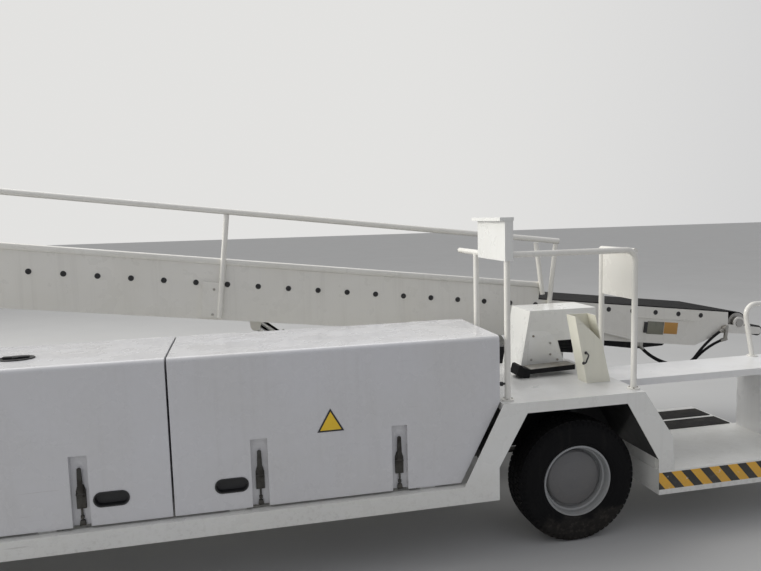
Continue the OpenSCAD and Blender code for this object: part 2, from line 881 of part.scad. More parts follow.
module locker(x0, x1) {
  y1 = half_w - cover_inset;
  y0 = boom_y + lift_spacing / 2 + barrel_r + lift_clear;
  difference() {
    long_form(x0, x1) crowned(y0, y1, rail_z, platform_z - 20, 12);
    long_form(x0 + sheet, x1 - sheet)
      crowned(y0 + sheet, y1 - sheet, rail_z + sheet, platform_z - 20 - sheet, 7);
  }
  block([x0 + 60, y1, rail_z + 50], [x1 - 60, y1 + 8, platform_z - 90]);
  block([(x0 + x1) / 2 - 60, y1 + 7, platform_z - 150], [(x0 + x1) / 2 + 60, y1 + 20, platform_z - 130]);
}

module right_lockers() {
  color(paint) {
    locker(locker_x[0], locker_x[1]);
    locker(locker_x[2], locker_x[3]);
  }
}

// Boom support

stand_y = [boom_y - 300, boom_y + 300];
pivot_pin_r = 30;
stand_t = 24;

module pivot_stand() {
  block([pivot_x - 50, boom_y - 380, rail_top], [pivot_x + 40, half_w - sill_w, rail_top + 60]);
  for (y = stand_y)
    side_sheet(y - stand_t / 2, stand_t)
      union() {
        polygon([[pivot_x - 50, rail_top + 59], [pivot_x + 40, rail_top + 59],
                 [pivot_x + 38, pivot_z], [pivot_x - 38, pivot_z]]);
        translate([pivot_x, pivot_z]) circle(r = 38);
      }
  translate([pivot_x, 0, pivot_z]) bar_y(stand_y[0] - 60, stand_y[1] + 60, pivot_pin_r);
}

lift_y = [boom_y - lift_spacing / 2, boom_y + lift_spacing / 2];
eye_half = 25;
cheek_t = 16;
lift_pin_r = 20;

// Pair of cheeks on each side of a cylinder's eye, at the places across
module cheeks(y) {
  for (side = [-1, 1])
    side_sheet(y + side * (eye_half + seam + cheek_t / 2) - cheek_t / 2, cheek_t) children();
}

module lift_brackets() {
  for (y = lift_y) {
    cheeks(y) union() {
      polygon([[lift_foot_x - 40, rail_z], [lift_foot_x + 40, rail_z],
               [lift_foot_x + 30, lift_foot_z], [lift_foot_x - 30, lift_foot_z]]);
      translate([lift_foot_x, lift_foot_z]) circle(r = 30);
    }
    translate([lift_foot_x, 0, lift_foot_z]) bar_y(y - eye_half - 18, y + eye_half + 18, lift_pin_r);
  }
}

// Cradle that carries the lowered boom
rest_x = -1700;
lift_low = 5;
rest_z = pivot_z + (pivot_x - rest_x) * tan(boom_angle - lift_low) + plate_low - 6;

module boom_rest() {
  for (y = [boom_y - 340, boom_y + 300])
    block([rest_x - 30, y, platform_z], [rest_x + 30, y + 40, rest_z - 50]);
  block([rest_x - 30, boom_y - 365, rest_z - 51], [rest_x + 30, boom_y + 365, rest_z]);
}

module boom_mounts() {
  color(paint) {
    pivot_stand();
    lift_brackets();
    boom_rest();
  }
}

// Boom

drum_w = plate_mid + 5 - belt_t - drum_r;
arm_w = drum_w - 51;
rear_roller_s = (half_l - pivot_x - arm_w * sin(boom_angle) - bumper_r) / cos(boom_angle);
front_roller_s = (-half_l - pivot_x - arm_w * sin(boom_angle) + bumper_r) / cos(boom_angle);
arm_gap = 20;
rear_drum_s = rear_roller_s - bumper_r - arm_gap - drum_r - belt_t - 40;
front_drum_s = front_roller_s + bumper_r + arm_gap + drum_r + belt_t;
plate_t = 5;
half_boom = boom_w / 2;
boom_front_s = front_drum_s + 35;
boom_rear_s = rear_drum_s - 110;

// Upper run of the belt: the rollers' height and radius
carrier_r = drum_w + drum_r - idler_w - seam;
return_r = 24;
return_w = drum_w - drum_r - belt_t - return_r - seam;

// Places of the carrying rollers along the boom, one behind each hole of the side plates
first_idler = boom_rear_s - 240;
idler_count = floor((first_idler - boom_front_s - 100) / idler_pitch) + 1;
idler_s = [for (i = [0 : idler_count - 1]) first_idler - i * idler_pitch];

// Places of the crossbars, and of the return rollers between them
bar_pitch = 900;
first_bar = bar_pitch + 120;
bar_count = floor((first_bar - boom_front_s - 200) / bar_pitch) + 1;
bar_s = [for (i = [0 : bar_count - 1]) first_bar - i * bar_pitch];

idler_hole_r = 16;
plate_rear_foot = boom_rear_s - 261;

module plate_outline(top) {
  polygon([
    [boom_front_s, plate_low + 110], [boom_front_s + 255, plate_low], [plate_rear_foot, plate_low],
    [boom_rear_s + 12, plate_low + 135], [boom_rear_s - 4, plate_mid], [guard_end, plate_mid],
    [guard_end, top], [boom_front_s, top]
  ]);
}

// One side plate, with the bar along its guard and the flange along its foot
module guarded_plate(top) {
  side_sheet(half_boom - plate_t, plate_t) plate_outline(top);
  translate([0, half_boom - 10, top]) bar_x(boom_front_s, guard_end, 10);
  block([boom_front_s + 255, half_boom - 45, plate_low],
        [plate_rear_foot, half_boom - 1, plate_low + plate_t]);
}

module boom_plates() {
  flange_z = plate_low + plate_t;
  color(paint) on_boom() {
    difference() {
      union() {
        guarded_plate(right_guard_top);
        mirror([0, 1, 0]) guarded_plate(plate_top);
      }
      for (s = idler_s)
        translate([s, -half_boom - 1, idler_w]) bar_y(0, boom_w + 2, idler_hole_r);
    }
    both_sides() {
      lug_y = 300 + stand_t / 2 + seam;
      side_sheet(lug_y, 20)
        difference() {
          union() {
            polygon([[-60, flange_z], [60, flange_z], [45, 0], [-45, 0]]);
            circle(r = 45);
          }
          circle(r = pivot_pin_r + seam);
        }
      block([-60, lug_y, flange_z - 1], [60, half_boom - 1, flange_z + 12]);
    }
  }
}

head_drop = -5;

module boom_bed() {
  inner = half_boom - plate_t;
  head_top = plate_low + 12;
  color(paint) on_boom() {
    for (s = bar_s)
      block([s - 25, -inner, plate_low + plate_t + 8], [s + 25, inner, plate_low + 60]);
    block([-lift_head_reach - 50, -inner, head_top], [-lift_head_reach + 50, inner, head_top + 30]);
    for (y = [-lift_spacing / 2, lift_spacing / 2])
      cheeks(y) union() {
        polygon([[-lift_head_reach - 50, head_top + 1], [-lift_head_reach + 50, head_top + 1],
                 [-lift_head_reach + 32, head_drop], [-lift_head_reach - 32, head_drop]]);
        translate([-lift_head_reach, head_drop]) circle(r = 32);
      }
  }
}

// Rollers that carry the belt, with their axle ends in the side plates' holes
module belt_rollers() {
  inner = half_boom - plate_t;
  color("silver") on_boom() {
    for (s = idler_s)
      translate([s, 0, idler_w]) {
        bar_y(-inner + 4, inner - 4, carrier_r);
        bar_y(-half_boom + 1, half_boom - 1, idler_hole_r - seam);
      }
    for (s = bar_s)
      if (s - bar_pitch / 2 > boom_front_s + 150)
        translate([s - bar_pitch / 2, 0, return_w]) {
          bar_y(-inner + 4, inner - 4, return_r);
          bar_y(-inner, inner, 10);
        }
  }
}

module belt() {
  outer = drum_r + belt_t;
  color("black") on_boom()
    side_sheet(-belt_w / 2, belt_w)
      difference() {
        hull() {
          translate([rear_drum_s, drum_w]) circle(r = outer, $fn = 96);
          translate([front_drum_s, drum_w]) circle(r = outer, $fn = 96);
        }
        hull() {
          translate([rear_drum_s, drum_w]) circle(r = drum_r, $fn = 96);
          translate([front_drum_s, drum_w]) circle(r = drum_r, $fn = 96);
        }
      }
}

module drums() {
  color("silver") on_boom()
    for (s = [rear_drum_s, front_drum_s])
      translate([s, 0, drum_w]) {
        bar_y(-belt_w / 2, belt_w / 2, drum_r - seam);
        bar_y(-half_boom - 3, half_boom + 3, 30);
      }
}

arm_t = 12;
arm_y = half_boom - plate_t - arm_t;
arm_root = 150;

// An end arm's outline, from its root inside the side plate to the soft roller
module arm_outline(drum_s, roller_s, dir) {
  root = drum_s - dir * arm_root;
  polygon([[root, arm_w - 35], [roller_s, arm_w - 27], [roller_s, arm_w + 27], [root, arm_w + 35]]);
  translate([root, arm_w]) circle(r = 35);
  translate([roller_s, arm_w]) circle(r = 27);
  translate([drum_s, drum_w]) circle(r = 46);
}

module end_arms() {
  color(paint) on_boom()
    for (end = [[rear_drum_s, rear_roller_s, 1], [front_drum_s, front_roller_s, -1]])
      both_sides()
        difference() {
          side_sheet(arm_y, arm_t) arm_outline(end[0], end[1], end[2]);
          translate([end[0], 0, drum_w]) bar_y(arm_y - 1, arm_y + arm_t + 1, 30 + seam);
        }
}

module end_rollers() {
  color("dimgray") on_boom()
    for (s = [rear_roller_s, front_roller_s])
      translate([s, 0, arm_w]) bar_y(-arm_y, arm_y, bumper_r);
}

post_r = handrail_r - 2;
rail_y = -half_boom - post_r;
last_post = -149;
post_count = 3;
rail_front_s = boom_front_s + 250;
post_s = [for (s = [last_post - post_pitch : -post_pitch : rail_front_s + 400]) s];

module boom_rail() {
  color(paint) on_boom()
    translate([0, rail_y, handrail_w]) bar_x(rail_front_s, last_post + handrail_r, handrail_r);
}

module rail_posts() {
  color(paint) on_boom() {
    for (s = concat(post_s, [rail_front_s + 40]))
      translate([s, rail_y, 0]) {
        translate([0, 0, plate_low + 15]) cylinder(r = post_r, h = handrail_w - handrail_r - plate_low - 15);
        block([-115, -6, plate_low + 15], [-post_r + 4, post_r, plate_low + 240]);
      }
    translate([last_post, rail_y, plate_mid - 40])
      cylinder(r = post_r, h = handrail_w - handrail_r - plate_mid + 40);
    translate([0, rail_y, 0])
      strut([last_post - 60, plate_top - 75], [last_post - 150, handrail_w - handrail_r - 5], post_r);
  }
}

hose_r = 10;
hose_root = 605;

// A piece of hose round a centre in an upright plane, from an angle on by a sweep
module hose_arc(centre, r_arc, from, sweep) {
  translate([centre[0], 0, centre[1]])
    rotate([90, 0, 0]) rotate([0, 0, from])
      rotate_extrude(angle = sweep) translate([r_arc, 0]) circle(r = hose_r);
}

// Radii of a hose's long left arc and of its tight bend
hang_r = 500;
climb_r = 160;

// The end of a hose's climbing bend, and of the arc that leans over from it
function hose_knee(low, climb) = low + climb_r * [sin(climb), 1 - cos(climb)];
function hose_end(low, climb, r_top, lean) =
  hose_knee(low, climb) + r_top * [sin(climb) - sin(lean), cos(lean) - cos(climb)];

// The turn that an arc leaves to the sleeve over its end
function sleeved(r_arc) = 180 * 3 / (PI * r_arc);

// A crimped sleeve where two arcs of hose meet
module sleeve(at, heading) {
  reach = 12 * [cos(heading), sin(heading)];
  strut(at - reach, at + reach, hose_r + 2);
}

// A hose that hangs to its lowest point, climbs by a tight bend and leans over towards its end
module hose(low, y, turn, left_sweep, climb, r_top, lean) {
  knee = hose_knee(low, climb);
  translate([hose_root, y, 0]) rotate([0, 0, -turn]) translate([-hose_root, 0, 0]) {
    hose_arc(low + [0, hang_r], hang_r, 270 - left_sweep, left_sweep - sleeved(hang_r));
    sleeve(low, 0);
    hose_arc(low + [0, climb_r], climb_r, 270 + sleeved(climb_r), climb - 2 * sleeved(climb_r));
    sleeve(knee, climb);
    hose_arc(knee + r_top * [sin(climb), -cos(climb)], r_top, 90 + lean, climb - lean - sleeved(r_top));
  }
}

// Hydraulic hoses from a block under the near flange to the fittings on the side plate's rear end
module boom_hoses() {
  face = -half_boom - seam;
  outer_low = [965, -108];
  outer_turn = 3;
  outer_end = hose_end(outer_low, 58, 780, 35);
  fitting_s = hose_root + (outer_end[0] - hose_root) * cos(outer_turn);
  color("black") on_boom() {
    block([600, -half_boom + 1, plate_low - 30], [650, -half_boom + 50, plate_low]);
    hose(outer_low, -half_boom + 13, outer_turn, 43.5, 58, 780, 35);
    translate([fitting_s, 0, outer_end[1]]) bar_y(face - 34, face, 16);
    hose([985, -120], -half_boom + 38, 4.1, 45.5, 52, 530, 20);
    translate([1335, face - 14, 98]) cylinder(r = 14, h = 117);
  }
}

// Lift cylinders

head_x = pivot_x - lift_head_reach * cos(boom_angle) + head_drop * sin(boom_angle);
head_z = pivot_z + lift_head_reach * sin(boom_angle) + head_drop * cos(boom_angle);
lift_length = norm([head_x - lift_foot_x, head_z - lift_foot_z]);
lift_angle = atan2(head_z - lift_foot_z, lift_foot_x - head_x);
barrel_l = 780;
rod_l = 700;

// A cylinder's own frame: X from the lower pin to the upper pin
module on_lift(y) {
  translate([lift_foot_x, y, lift_foot_z]) rotate([0, -180 + lift_angle, 0]) children();
}

module lift_barrels() {
  color(paint)
    for (y = lift_y)
      on_lift(y)
        difference() {
          union() {
            bar_x(40, barrel_l, barrel_r);
            bar_y(-eye_half, eye_half, 34);
            bar_x(0, 60, 24);
          }
          bar_y(-eye_half - 1, eye_half + 1, lift_pin_r + seam);
          bar_x(120, barrel_l + 1, rod_r + seam);
        }
}

module lift_rods() {
  color("silver")
    for (y = lift_y)
      on_lift(y) {
        bar_x(lift_length - rod_l, lift_length - 20, rod_r);
        translate([lift_length, 0, 0]) difference() {
          bar_y(-eye_half, eye_half, 32);
          bar_y(-eye_half - 1, eye_half + 1, 15);
        }
      }
}

main_rails();
cross_members();
side_sills();
side_skirts();
wheel_houses();
front_body();
lamps();
tow_hitch();
rear_axle();
front_axle();
platform();
rear_deck();
deck_treads();
walkway();
grab_hoop();
guard_rail();
control_box();
control_column();
foot_pedal();
side_console();
power_pack();
cover_frame();
right_lockers();
boom_mounts();
rear_cover();
front_cover();
left_knuckle();
right_knuckle();
tie_rod();
rear_left_tyre();
rear_left_wheel();
rear_right_tyre();
rear_right_wheel();
front_left_tyre();
front_left_wheel();
front_right_tyre();
front_right_wheel();
boom_plates();
boom_bed();
belt_rollers();
belt();
drums();
end_arms();
end_rollers();
boom_rail();
rail_posts();
boom_hoses();
lift_barrels();
lift_rods();
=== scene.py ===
import math

import bmesh
import bpy
from bpy.props import FloatProperty, FloatVectorProperty, PointerProperty
from mathutils import Matrix, Vector


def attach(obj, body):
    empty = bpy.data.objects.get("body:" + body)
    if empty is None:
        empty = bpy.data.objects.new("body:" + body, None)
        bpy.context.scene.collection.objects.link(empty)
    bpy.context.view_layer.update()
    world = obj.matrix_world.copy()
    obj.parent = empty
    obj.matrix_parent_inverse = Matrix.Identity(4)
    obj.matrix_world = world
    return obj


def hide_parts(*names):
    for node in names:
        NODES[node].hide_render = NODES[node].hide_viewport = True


bl_info = {
    "name": "Belt loader dressing",
    "version": (1, 0, 0),
    "blender": (4, 5, 0),
    "location": "View3D > Sidebar > Belt loader",
    "description": "Finishes and small fittings for a self-propelled baggage belt loader",
    "category": "Object",
}

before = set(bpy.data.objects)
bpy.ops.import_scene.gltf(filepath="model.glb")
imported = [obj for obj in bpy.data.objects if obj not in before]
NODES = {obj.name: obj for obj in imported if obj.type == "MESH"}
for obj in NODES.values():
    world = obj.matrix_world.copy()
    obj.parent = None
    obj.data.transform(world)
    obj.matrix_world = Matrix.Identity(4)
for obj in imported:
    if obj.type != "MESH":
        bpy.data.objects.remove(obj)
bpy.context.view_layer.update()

# Places shared by several pieces, in metres, in the part's own frame
REAR_AXLE_X = 1.950
FRONT_AXLE_X = -1.850
HALF_TRACK = 0.880
WHEEL_Z = 0.341
HALF_WIDTH = 1.025
PLATFORM_Z = 0.824
PIVOT = Vector((2.460, 0.555, 0.846))
BOOM_SLOPE = math.radians(6.6)
CORNERS = {
    "rear_left": (REAR_AXLE_X, -HALF_TRACK),
    "rear_right": (REAR_AXLE_X, HALF_TRACK),
    "front_left": (FRONT_AXLE_X, -HALF_TRACK),
    "front_right": (FRONT_AXLE_X, HALF_TRACK),
}


def on_boom(s, y, w):
    """A point given along the boom, across it and square to its belt, from its pivot."""
    c, n = math.cos(BOOM_SLOPE), math.sin(BOOM_SLOPE)
    return Vector((PIVOT.x + s * c + w * n, PIVOT.y + y, PIVOT.z - s * n + w * c))


# Finishes


class Sketch:
    """Adds nodes and links to one node tree."""

    def __init__(self, tree):
        self.tree = tree

    def add(self, kind, inputs=None, **settings):
        node = self.tree.nodes.new(kind)
        for key, value in settings.items():
            setattr(node, key, value)
        for key, value in (inputs or {}).items():
            self.set(node, key, value)
        return node

    def set(self, node, key, value):
        if isinstance(value, bpy.types.NodeSocket):
            self.tree.links.new(value, node.inputs[key])
        else:
            node.inputs[key].default_value = value

    def math(self, operation, a, b=0.0, clamp=False):
        return self.add("ShaderNodeMath", {0: a, 1: b}, operation=operation, use_clamp=clamp).outputs[0]

    def ramp(self, value, low, high, to_low=0.0, to_high=1.0):
        given = {0: value, 1: low, 2: high, 3: to_low, 4: to_high}
        return self.add("ShaderNodeMapRange", given, interpolation_type="SMOOTHSTEP").outputs[0]

    def noise(self, vector, scale, detail=3.0, roughness=0.55):
        given = {"Vector": vector, "Scale": scale, "Detail": detail, "Roughness": roughness}
        return self.add("ShaderNodeTexNoise", given).outputs[0]

    def stretch(self, vector, scale=(1, 1, 1), turn=(0, 0, 0)):
        return self.add("ShaderNodeMapping", {"Vector": vector, "Scale": scale, "Rotation": turn}).outputs[0]

    def mix(self, factor, a, b):
        node = self.add("ShaderNodeMix", data_type="RGBA")
        for key, kind, value in (("Factor", "VALUE", factor), ("A", "RGBA", a), ("B", "RGBA", b)):
            socket = next(socket for socket in node.inputs if (socket.name, socket.type) == (key, kind))
            if isinstance(value, bpy.types.NodeSocket):
                self.tree.links.new(value, socket)
            else:
                socket.default_value = value
        return next(socket for socket in node.outputs if socket.type == "RGBA")

    def place(self):
        return self.add("ShaderNodeTexCoord").outputs["Object"]

    def split(self, vector):
        return self.add("ShaderNodeSeparateXYZ", {0: vector}).outputs


def rgba(colour):
    return (colour[0], colour[1], colour[2], 1.0)


def group(name, inputs, outputs, build):
    """A shader node group, built once: build gets a sketch and the group's input sockets."""
    tree = bpy.data.node_groups.new(name, "ShaderNodeTree")
    for label, kind, value in inputs:
        socket = tree.interface.new_socket(label, in_out="INPUT", socket_type=kind)
        if value is not None:
            socket.default_value = value
    for label, kind in outputs:
        tree.interface.new_socket(label, in_out="OUTPUT", socket_type=kind)
    sketch = Sketch(tree)
    entry = tree.nodes.new("NodeGroupInput")
    leave = tree.nodes.new("NodeGroupOutput")
    for key, value in build(sketch, entry.outputs).items():
        tree.links.new(value, leave.inputs[key])
    return tree


FLOAT, COLOUR, VECTOR = "NodeSocketFloat", "NodeSocketColor", "NodeSocketVector"


def build_road_film(s, given):
    """Dust and dried spray: heavy near the ground, streaked down the sides, thin on level faces."""
    place = given["Place"]
    height = s.split(place)[2]
    rough_edge = s.math("MULTIPLY", s.math("SUBTRACT", s.noise(place, 3.0, 5.0), 0.5), 0.5)
    low = s.ramp(s.math("ADD", height, rough_edge), given["Clean Above"], 0.15)
    spots = s.ramp(s.noise(place, 38.0, 4.0, 0.7), 0.48, 0.66)
    streaks = s.ramp(s.noise(s.stretch(place, (26.0, 26.0, 1.1)), 1.0, 4.0, 0.6), 0.50, 0.74)
    up = s.split(s.add("ShaderNodeNewGeometry").outputs["Normal"])[2]
    level = s.math("MULTIPLY", s.ramp(up, 0.5, 0.95), s.ramp(s.noise(place, 5.0, 6.0), 0.35, 0.7))
    soft = s.math("MULTIPLY", low, s.math("ADD", s.math("MULTIPLY", spots, 0.6), 0.4))
    mask = s.math("MAXIMUM", soft, s.math("MULTIPLY", streaks, 0.22))
    mask = s.math("MAXIMUM", mask, s.math("MULTIPLY", level, 0.30))
    mask = s.math("MULTIPLY", mask, given["Amount"], clamp=True)
    return {"Colour": s.mix(mask, given["Colour"], given["Film"]), "Mask": mask}


def build_chips(s, given):
    """Small chips and scratches through the paint."""
    place = given["Place"]
    cells = s.add("ShaderNodeTexVoronoi", {"Vector": place, "Scale": 34.0}).outputs["Distance"]
    near = s.ramp(cells, 0.13, 0.03)
    where = s.ramp(s.noise(place, 2.3, 4.0, 0.6), 0.60, 0.74)
    lines = s.noise(s.stretch(place, (3.0, 3.0, 70.0), (0.0, 0.25, 0.1)), 1.0, 2.0)
    lines = s.math("MULTIPLY", s.ramp(lines, 0.70, 0.745), s.ramp(s.noise(place, 1.7, 2.0), 0.58, 0.72))
    mask = s.math("MAXIMUM", s.math("MULTIPLY", near, where), s.math("MULTIPLY", lines, 0.6))
    mask = s.math("MULTIPLY", mask, given["Amount"], clamp=True)
    return {"Colour": s.mix(mask, given["Colour"], given["Under"]), "Mask": mask}


def build_sheet_ripple(s, given):
    """Shallow dents in sheet metal with the paint's own fine peel."""
    place = given["Place"]
    broad = s.noise(place, 2.6, 1.5, 0.4)
    peel = s.noise(place, 420.0, 2.0, 0.5)
    dents, skin = s.math("MULTIPLY", broad, given["Dents"]), s.math("MULTIPLY", peel, given["Peel"])
    return {"Height": s.math("ADD", dents, skin)}


def build_grain(s, given):
    """Fine moulded grain for rubber and plastic, with paler scuffs."""
    place = given["Place"]
    fine = s.noise(place, given["Scale"], 4.0, 0.7)
    scuff = s.ramp(s.noise(place, 7.0, 6.0, 0.7), 0.52, 0.78)
    colour = s.mix(s.math("MULTIPLY", scuff, given["Scuffs"], clamp=True), given["Colour"], given["Pale"])
    return {"Colour": colour, "Height": fine, "Mask": scuff}


def build_drawn_lines(s, given):
    """Lines that drawing, rolling or brushing leaves along X in bare metal."""
    place = given["Place"]
    lines = s.noise(s.stretch(place, (2.0, 240.0, 240.0)), 1.0, 3.0, 0.6)
    blotch = s.noise(place, 9.0, 5.0, 0.6)
    return {"Height": lines, "Mask": s.ramp(blotch, 0.4, 0.72)}


def make_groups():
    place = ("Place", VECTOR, None)
    return {
        "road_film": group(
            "road_film",
            [place, ("Colour", COLOUR, None), ("Film", COLOUR, rgba((0.24, 0.21, 0.17))),
             ("Clean Above", FLOAT, 0.75), ("Amount", FLOAT, 0.7)],
            [("Colour", COLOUR), ("Mask", FLOAT)], build_road_film),
        "chips": group(
            "chips",
            [place, ("Colour", COLOUR, None), ("Under", COLOUR, rgba((0.13, 0.085, 0.055))),
             ("Amount", FLOAT, 0.6)],
            [("Colour", COLOUR), ("Mask", FLOAT)], build_chips),
        "sheet_ripple": group(
            "sheet_ripple", [place, ("Dents", FLOAT, 1.0), ("Peel", FLOAT, 0.02)],
            [("Height", FLOAT)], build_sheet_ripple),
        "grain": group(
            "grain",
            [place, ("Colour", COLOUR, None), ("Pale", COLOUR, rgba((0.09, 0.085, 0.08))),
             ("Scale", FLOAT, 160.0), ("Scuffs", FLOAT, 0.6)],
            [("Colour", COLOUR), ("Height", FLOAT), ("Mask", FLOAT)], build_grain),
        "drawn_lines": group(
            "drawn_lines", [place], [("Height", FLOAT), ("Mask", FLOAT)], build_drawn_lines),
    }


GROUPS = {}
FINISHES = {}


def use(s, name, **inputs):
    """One of the shared groups placed in a material."""
    node = s.add("ShaderNodeGroup", node_tree=GROUPS[name])
    for key, value in inputs.items():
        s.set(node, key.replace("_", " "), value)
    return node.outputs


def new_finish(name, **constants):
    """A material with its shader; constants that are the same all over stay on the shader."""
    material = bpy.data.materials.new(name)
    material.use_nodes = True
    s = Sketch(material.node_tree)
    shader = material.node_tree.nodes["Principled BSDF"]
    for key, value in constants.items():
        shader.inputs[key.replace("_", " ")].default_value = value
    FINISHES[name] = material
    return s, shader


def bump(s, shader, height, strength, distance):
    node = s.add("ShaderNodeBump", {"Height": height, "Strength": strength, "Distance": distance})
    s.set(shader, "Normal", node.outputs[0])


def paint(name, colour, gloss=0.28, film=0.34, clean_above=0.55, chips=0.45, dents=1.0, tone=None,
          marks=None):
    """Gloss paint with soft tone changes, chips, road film and dents. marks may change the colour first."""
    s, shader = new_finish(name, Coat_Weight=0.35, Coat_Roughness=0.12, Specular_IOR_Level=0.5)
    place = s.place()
    tone = tone or tuple(c * f for c, f in zip(colour, (0.965, 0.96, 0.94)))
    drift = s.ramp(s.noise(place, 1.4, 5.0, 0.6), 0.35, 0.7)
    base = s.mix(drift, rgba(colour), rgba(tone))
    if marks:
        base = marks(s, place, base)
    chipped = use(s, "chips", Place=place, Colour=base, Amount=chips)
    filmed = use(s, "road_film", Place=place, Colour=chipped["Colour"], Clean_Above=clean_above,
                 Amount=film)
    s.set(shader, "Base Color", filmed["Colour"])
    rough = s.ramp(s.noise(place, 6.0, 5.0), 0.3, 0.7, gloss - 0.06, gloss + 0.10)
    rough = s.math("ADD", rough, s.math("MULTIPLY", filmed["Mask"], 0.45))
    s.set(shader, "Roughness", s.math("ADD", rough, s.math("MULTIPLY", chipped["Mask"], 0.3), clamp=True))
    ripple = use(s, "sheet_ripple", Place=place, Dents=dents, Peel=0.012)
    height = s.math("SUBTRACT", ripple["Height"], s.math("MULTIPLY", chipped["Mask"], 0.03))
    bump(s, shader, height, 0.5, 0.012)


def rubber(name, colour, rough=0.75, scale=160.0, scuffs=0.6, film=0.5, clean_above=0.5, marks=None):
    """Rubber with moulded grain, pale scuffs and road film. marks gives a colour and a height of its own."""
    s, shader = new_finish(name, Specular_IOR_Level=0.22)
    place = s.place()
    base = rgba(colour)
    extra = None
    if marks:
        base, extra = marks(s, place, base)
    worn = use(s, "grain", Place=place, Colour=base, Scale=scale, Scuffs=scuffs)
    filmed = use(s, "road_film", Place=place, Colour=worn["Colour"], Clean_Above=clean_above, Amount=film,
                 Film=rgba((0.17, 0.15, 0.125)))
    s.set(shader, "Base Color", filmed["Colour"])
    s.set(shader, "Roughness", s.ramp(worn["Mask"], 0.0, 1.0, rough, min(1.0, rough + 0.15)))
    height = worn["Height"]
    if extra is not None:
        height = s.math("ADD", s.math("MULTIPLY", height, 0.3), extra)
    bump(s, shader, height, 0.4, 0.003)


def metal(name, colour, rough=0.3, dull=(0.25, 0.22, 0.18), stain=0.6, film=0.4):
    """Bare or plated metal with drawn lines and dull stains."""
    s, shader = new_finish(name)
    place = s.place()
    lines = use(s, "drawn_lines", Place=place)
    base = s.mix(s.math("MULTIPLY", lines["Mask"], stain), rgba(colour), rgba(dull))
    filmed = use(s, "road_film", Place=place, Colour=base, Amount=film)
    s.set(shader, "Base Color", filmed["Colour"])
    s.set(shader, "Metallic", s.ramp(filmed["Mask"], 0.0, 0.8, 1.0, 0.3))
    s.set(shader, "Roughness", s.ramp(lines["Mask"], 0.0, 1.0, rough, rough + 0.22))
    bump(s, shader, lines["Height"], 0.15, 0.001)


def plastic(name, colour, rough=0.35, marks=None, **constants):
    """Moulded plastic with fine grain; constants stay on the shader."""
    s, shader = new_finish(name, **constants)
    place = s.place()
    base = marks(s, place, rgba(colour)) if marks else rgba(colour)
    worn = use(s, "grain", Place=place, Colour=base, Scale=300.0, Scuffs=0.15,
               Pale=rgba(tuple(min(1.0, c * 1.2 + 0.05) for c in colour)))
    s.set(shader, "Base Color", worn["Colour"])
    s.set(shader, "Roughness", s.ramp(worn["Mask"], 0.0, 1.0, rough, rough + 0.12))
    bump(s, shader, worn["Height"], 0.1, 0.0008)


# Bands on the deck's left edge: where the first starts, the room that each pair takes along X, the share
# of it that is black, their slant, and the heights between which they show
BAND_START, BAND_PITCH, BAND_SHARE, BAND_SLANT = 2.738, 0.1195, 0.48, 0.885
BAND_LOW, BAND_HIGH = 0.262, 0.358
HUB_COVER = 0.156
RIB_PITCH = 0.018
MARKER_TOP = 0.430


def hazard_marks(s, place, base):
    """Slanting yellow and black bands on the deck's left edge, with a white lip under them."""
    x, y, z = s.split(place)
    slant = s.math("ADD", s.math("SUBTRACT", x, BAND_START), s.math("MULTIPLY", z, BAND_SLANT))
    along = s.math("FRACT", s.math("DIVIDE", s.math("ADD", slant, 100 * BAND_PITCH), BAND_PITCH))
    black = s.math("LESS_THAN", along, BAND_SHARE)
    band = s.mix(black, rgba((0.80, 0.43, 0.03)), rgba((0.012, 0.012, 0.012)))
    inside = s.math("MULTIPLY", s.math("GREATER_THAN", z, BAND_LOW), s.math("LESS_THAN", z, BAND_HIGH))
    inside = s.math("MULTIPLY", inside, s.math("LESS_THAN", y, -HALF_WIDTH + 0.002))
    worn = s.ramp(s.noise(place, 22.0, 5.0, 0.7), 0.62, 0.70, 1.0, 0.35)
    return s.mix(s.math("MULTIPLY", inside, worn), base, band)


def hub_tone(s, place, base):
    """The dull, darker cover in the middle of each wheel."""
    x, _, z = s.split(place)
    aside = s.math("MINIMUM", s.math("ABSOLUTE", s.math("SUBTRACT", x, REAR_AXLE_X)),
                   s.math("ABSOLUTE", s.math("SUBTRACT", x, FRONT_AXLE_X)))
    rise = s.math("SUBTRACT", z, WHEEL_Z)
    reach = s.math("SQRT", s.math("ADD", s.math("MULTIPLY", aside, aside), s.math("MULTIPLY", rise, rise)))
    cover = s.ramp(reach, HUB_COVER + 0.002, HUB_COVER - 0.002)
    return s.mix(cover, base, rgba((0.125, 0.125, 0.128)))


def deck_scuffs(s, place, base):
    """Grey scuffs from shoes on level faces."""
    scuff = s.ramp(s.noise(place, 11.0, 6.0, 0.75), 0.50, 0.72)
    up = s.ramp(s.split(s.add("ShaderNodeNewGeometry").outputs["Normal"])[2], 0.7, 0.95)
    return s.mix(s.math("MULTIPLY", s.math("MULTIPLY", scuff, up), 0.2), base, rgba((0.42, 0.40, 0.36)))


def belt_ribs(s, place, base):
    """Fine cross ribs of the belt, set along the boom."""
    along = s.split(s.stretch(place, turn=(0.0, -BOOM_SLOPE, 0.0)))[0]
    ribs = s.math("SINE", s.math("MULTIPLY", along, 2 * math.pi / RIB_PITCH))
    wear = s.ramp(s.noise(s.stretch(place, (1.0, 5.0, 1.0)), 2.0, 5.0, 0.6), 0.45, 0.75)
    worn = s.mix(s.math("MULTIPLY", wear, 0.25), base, rgba((0.035, 0.033, 0.03)))
    return worn, s.math("MULTIPLY", ribs, 0.8)


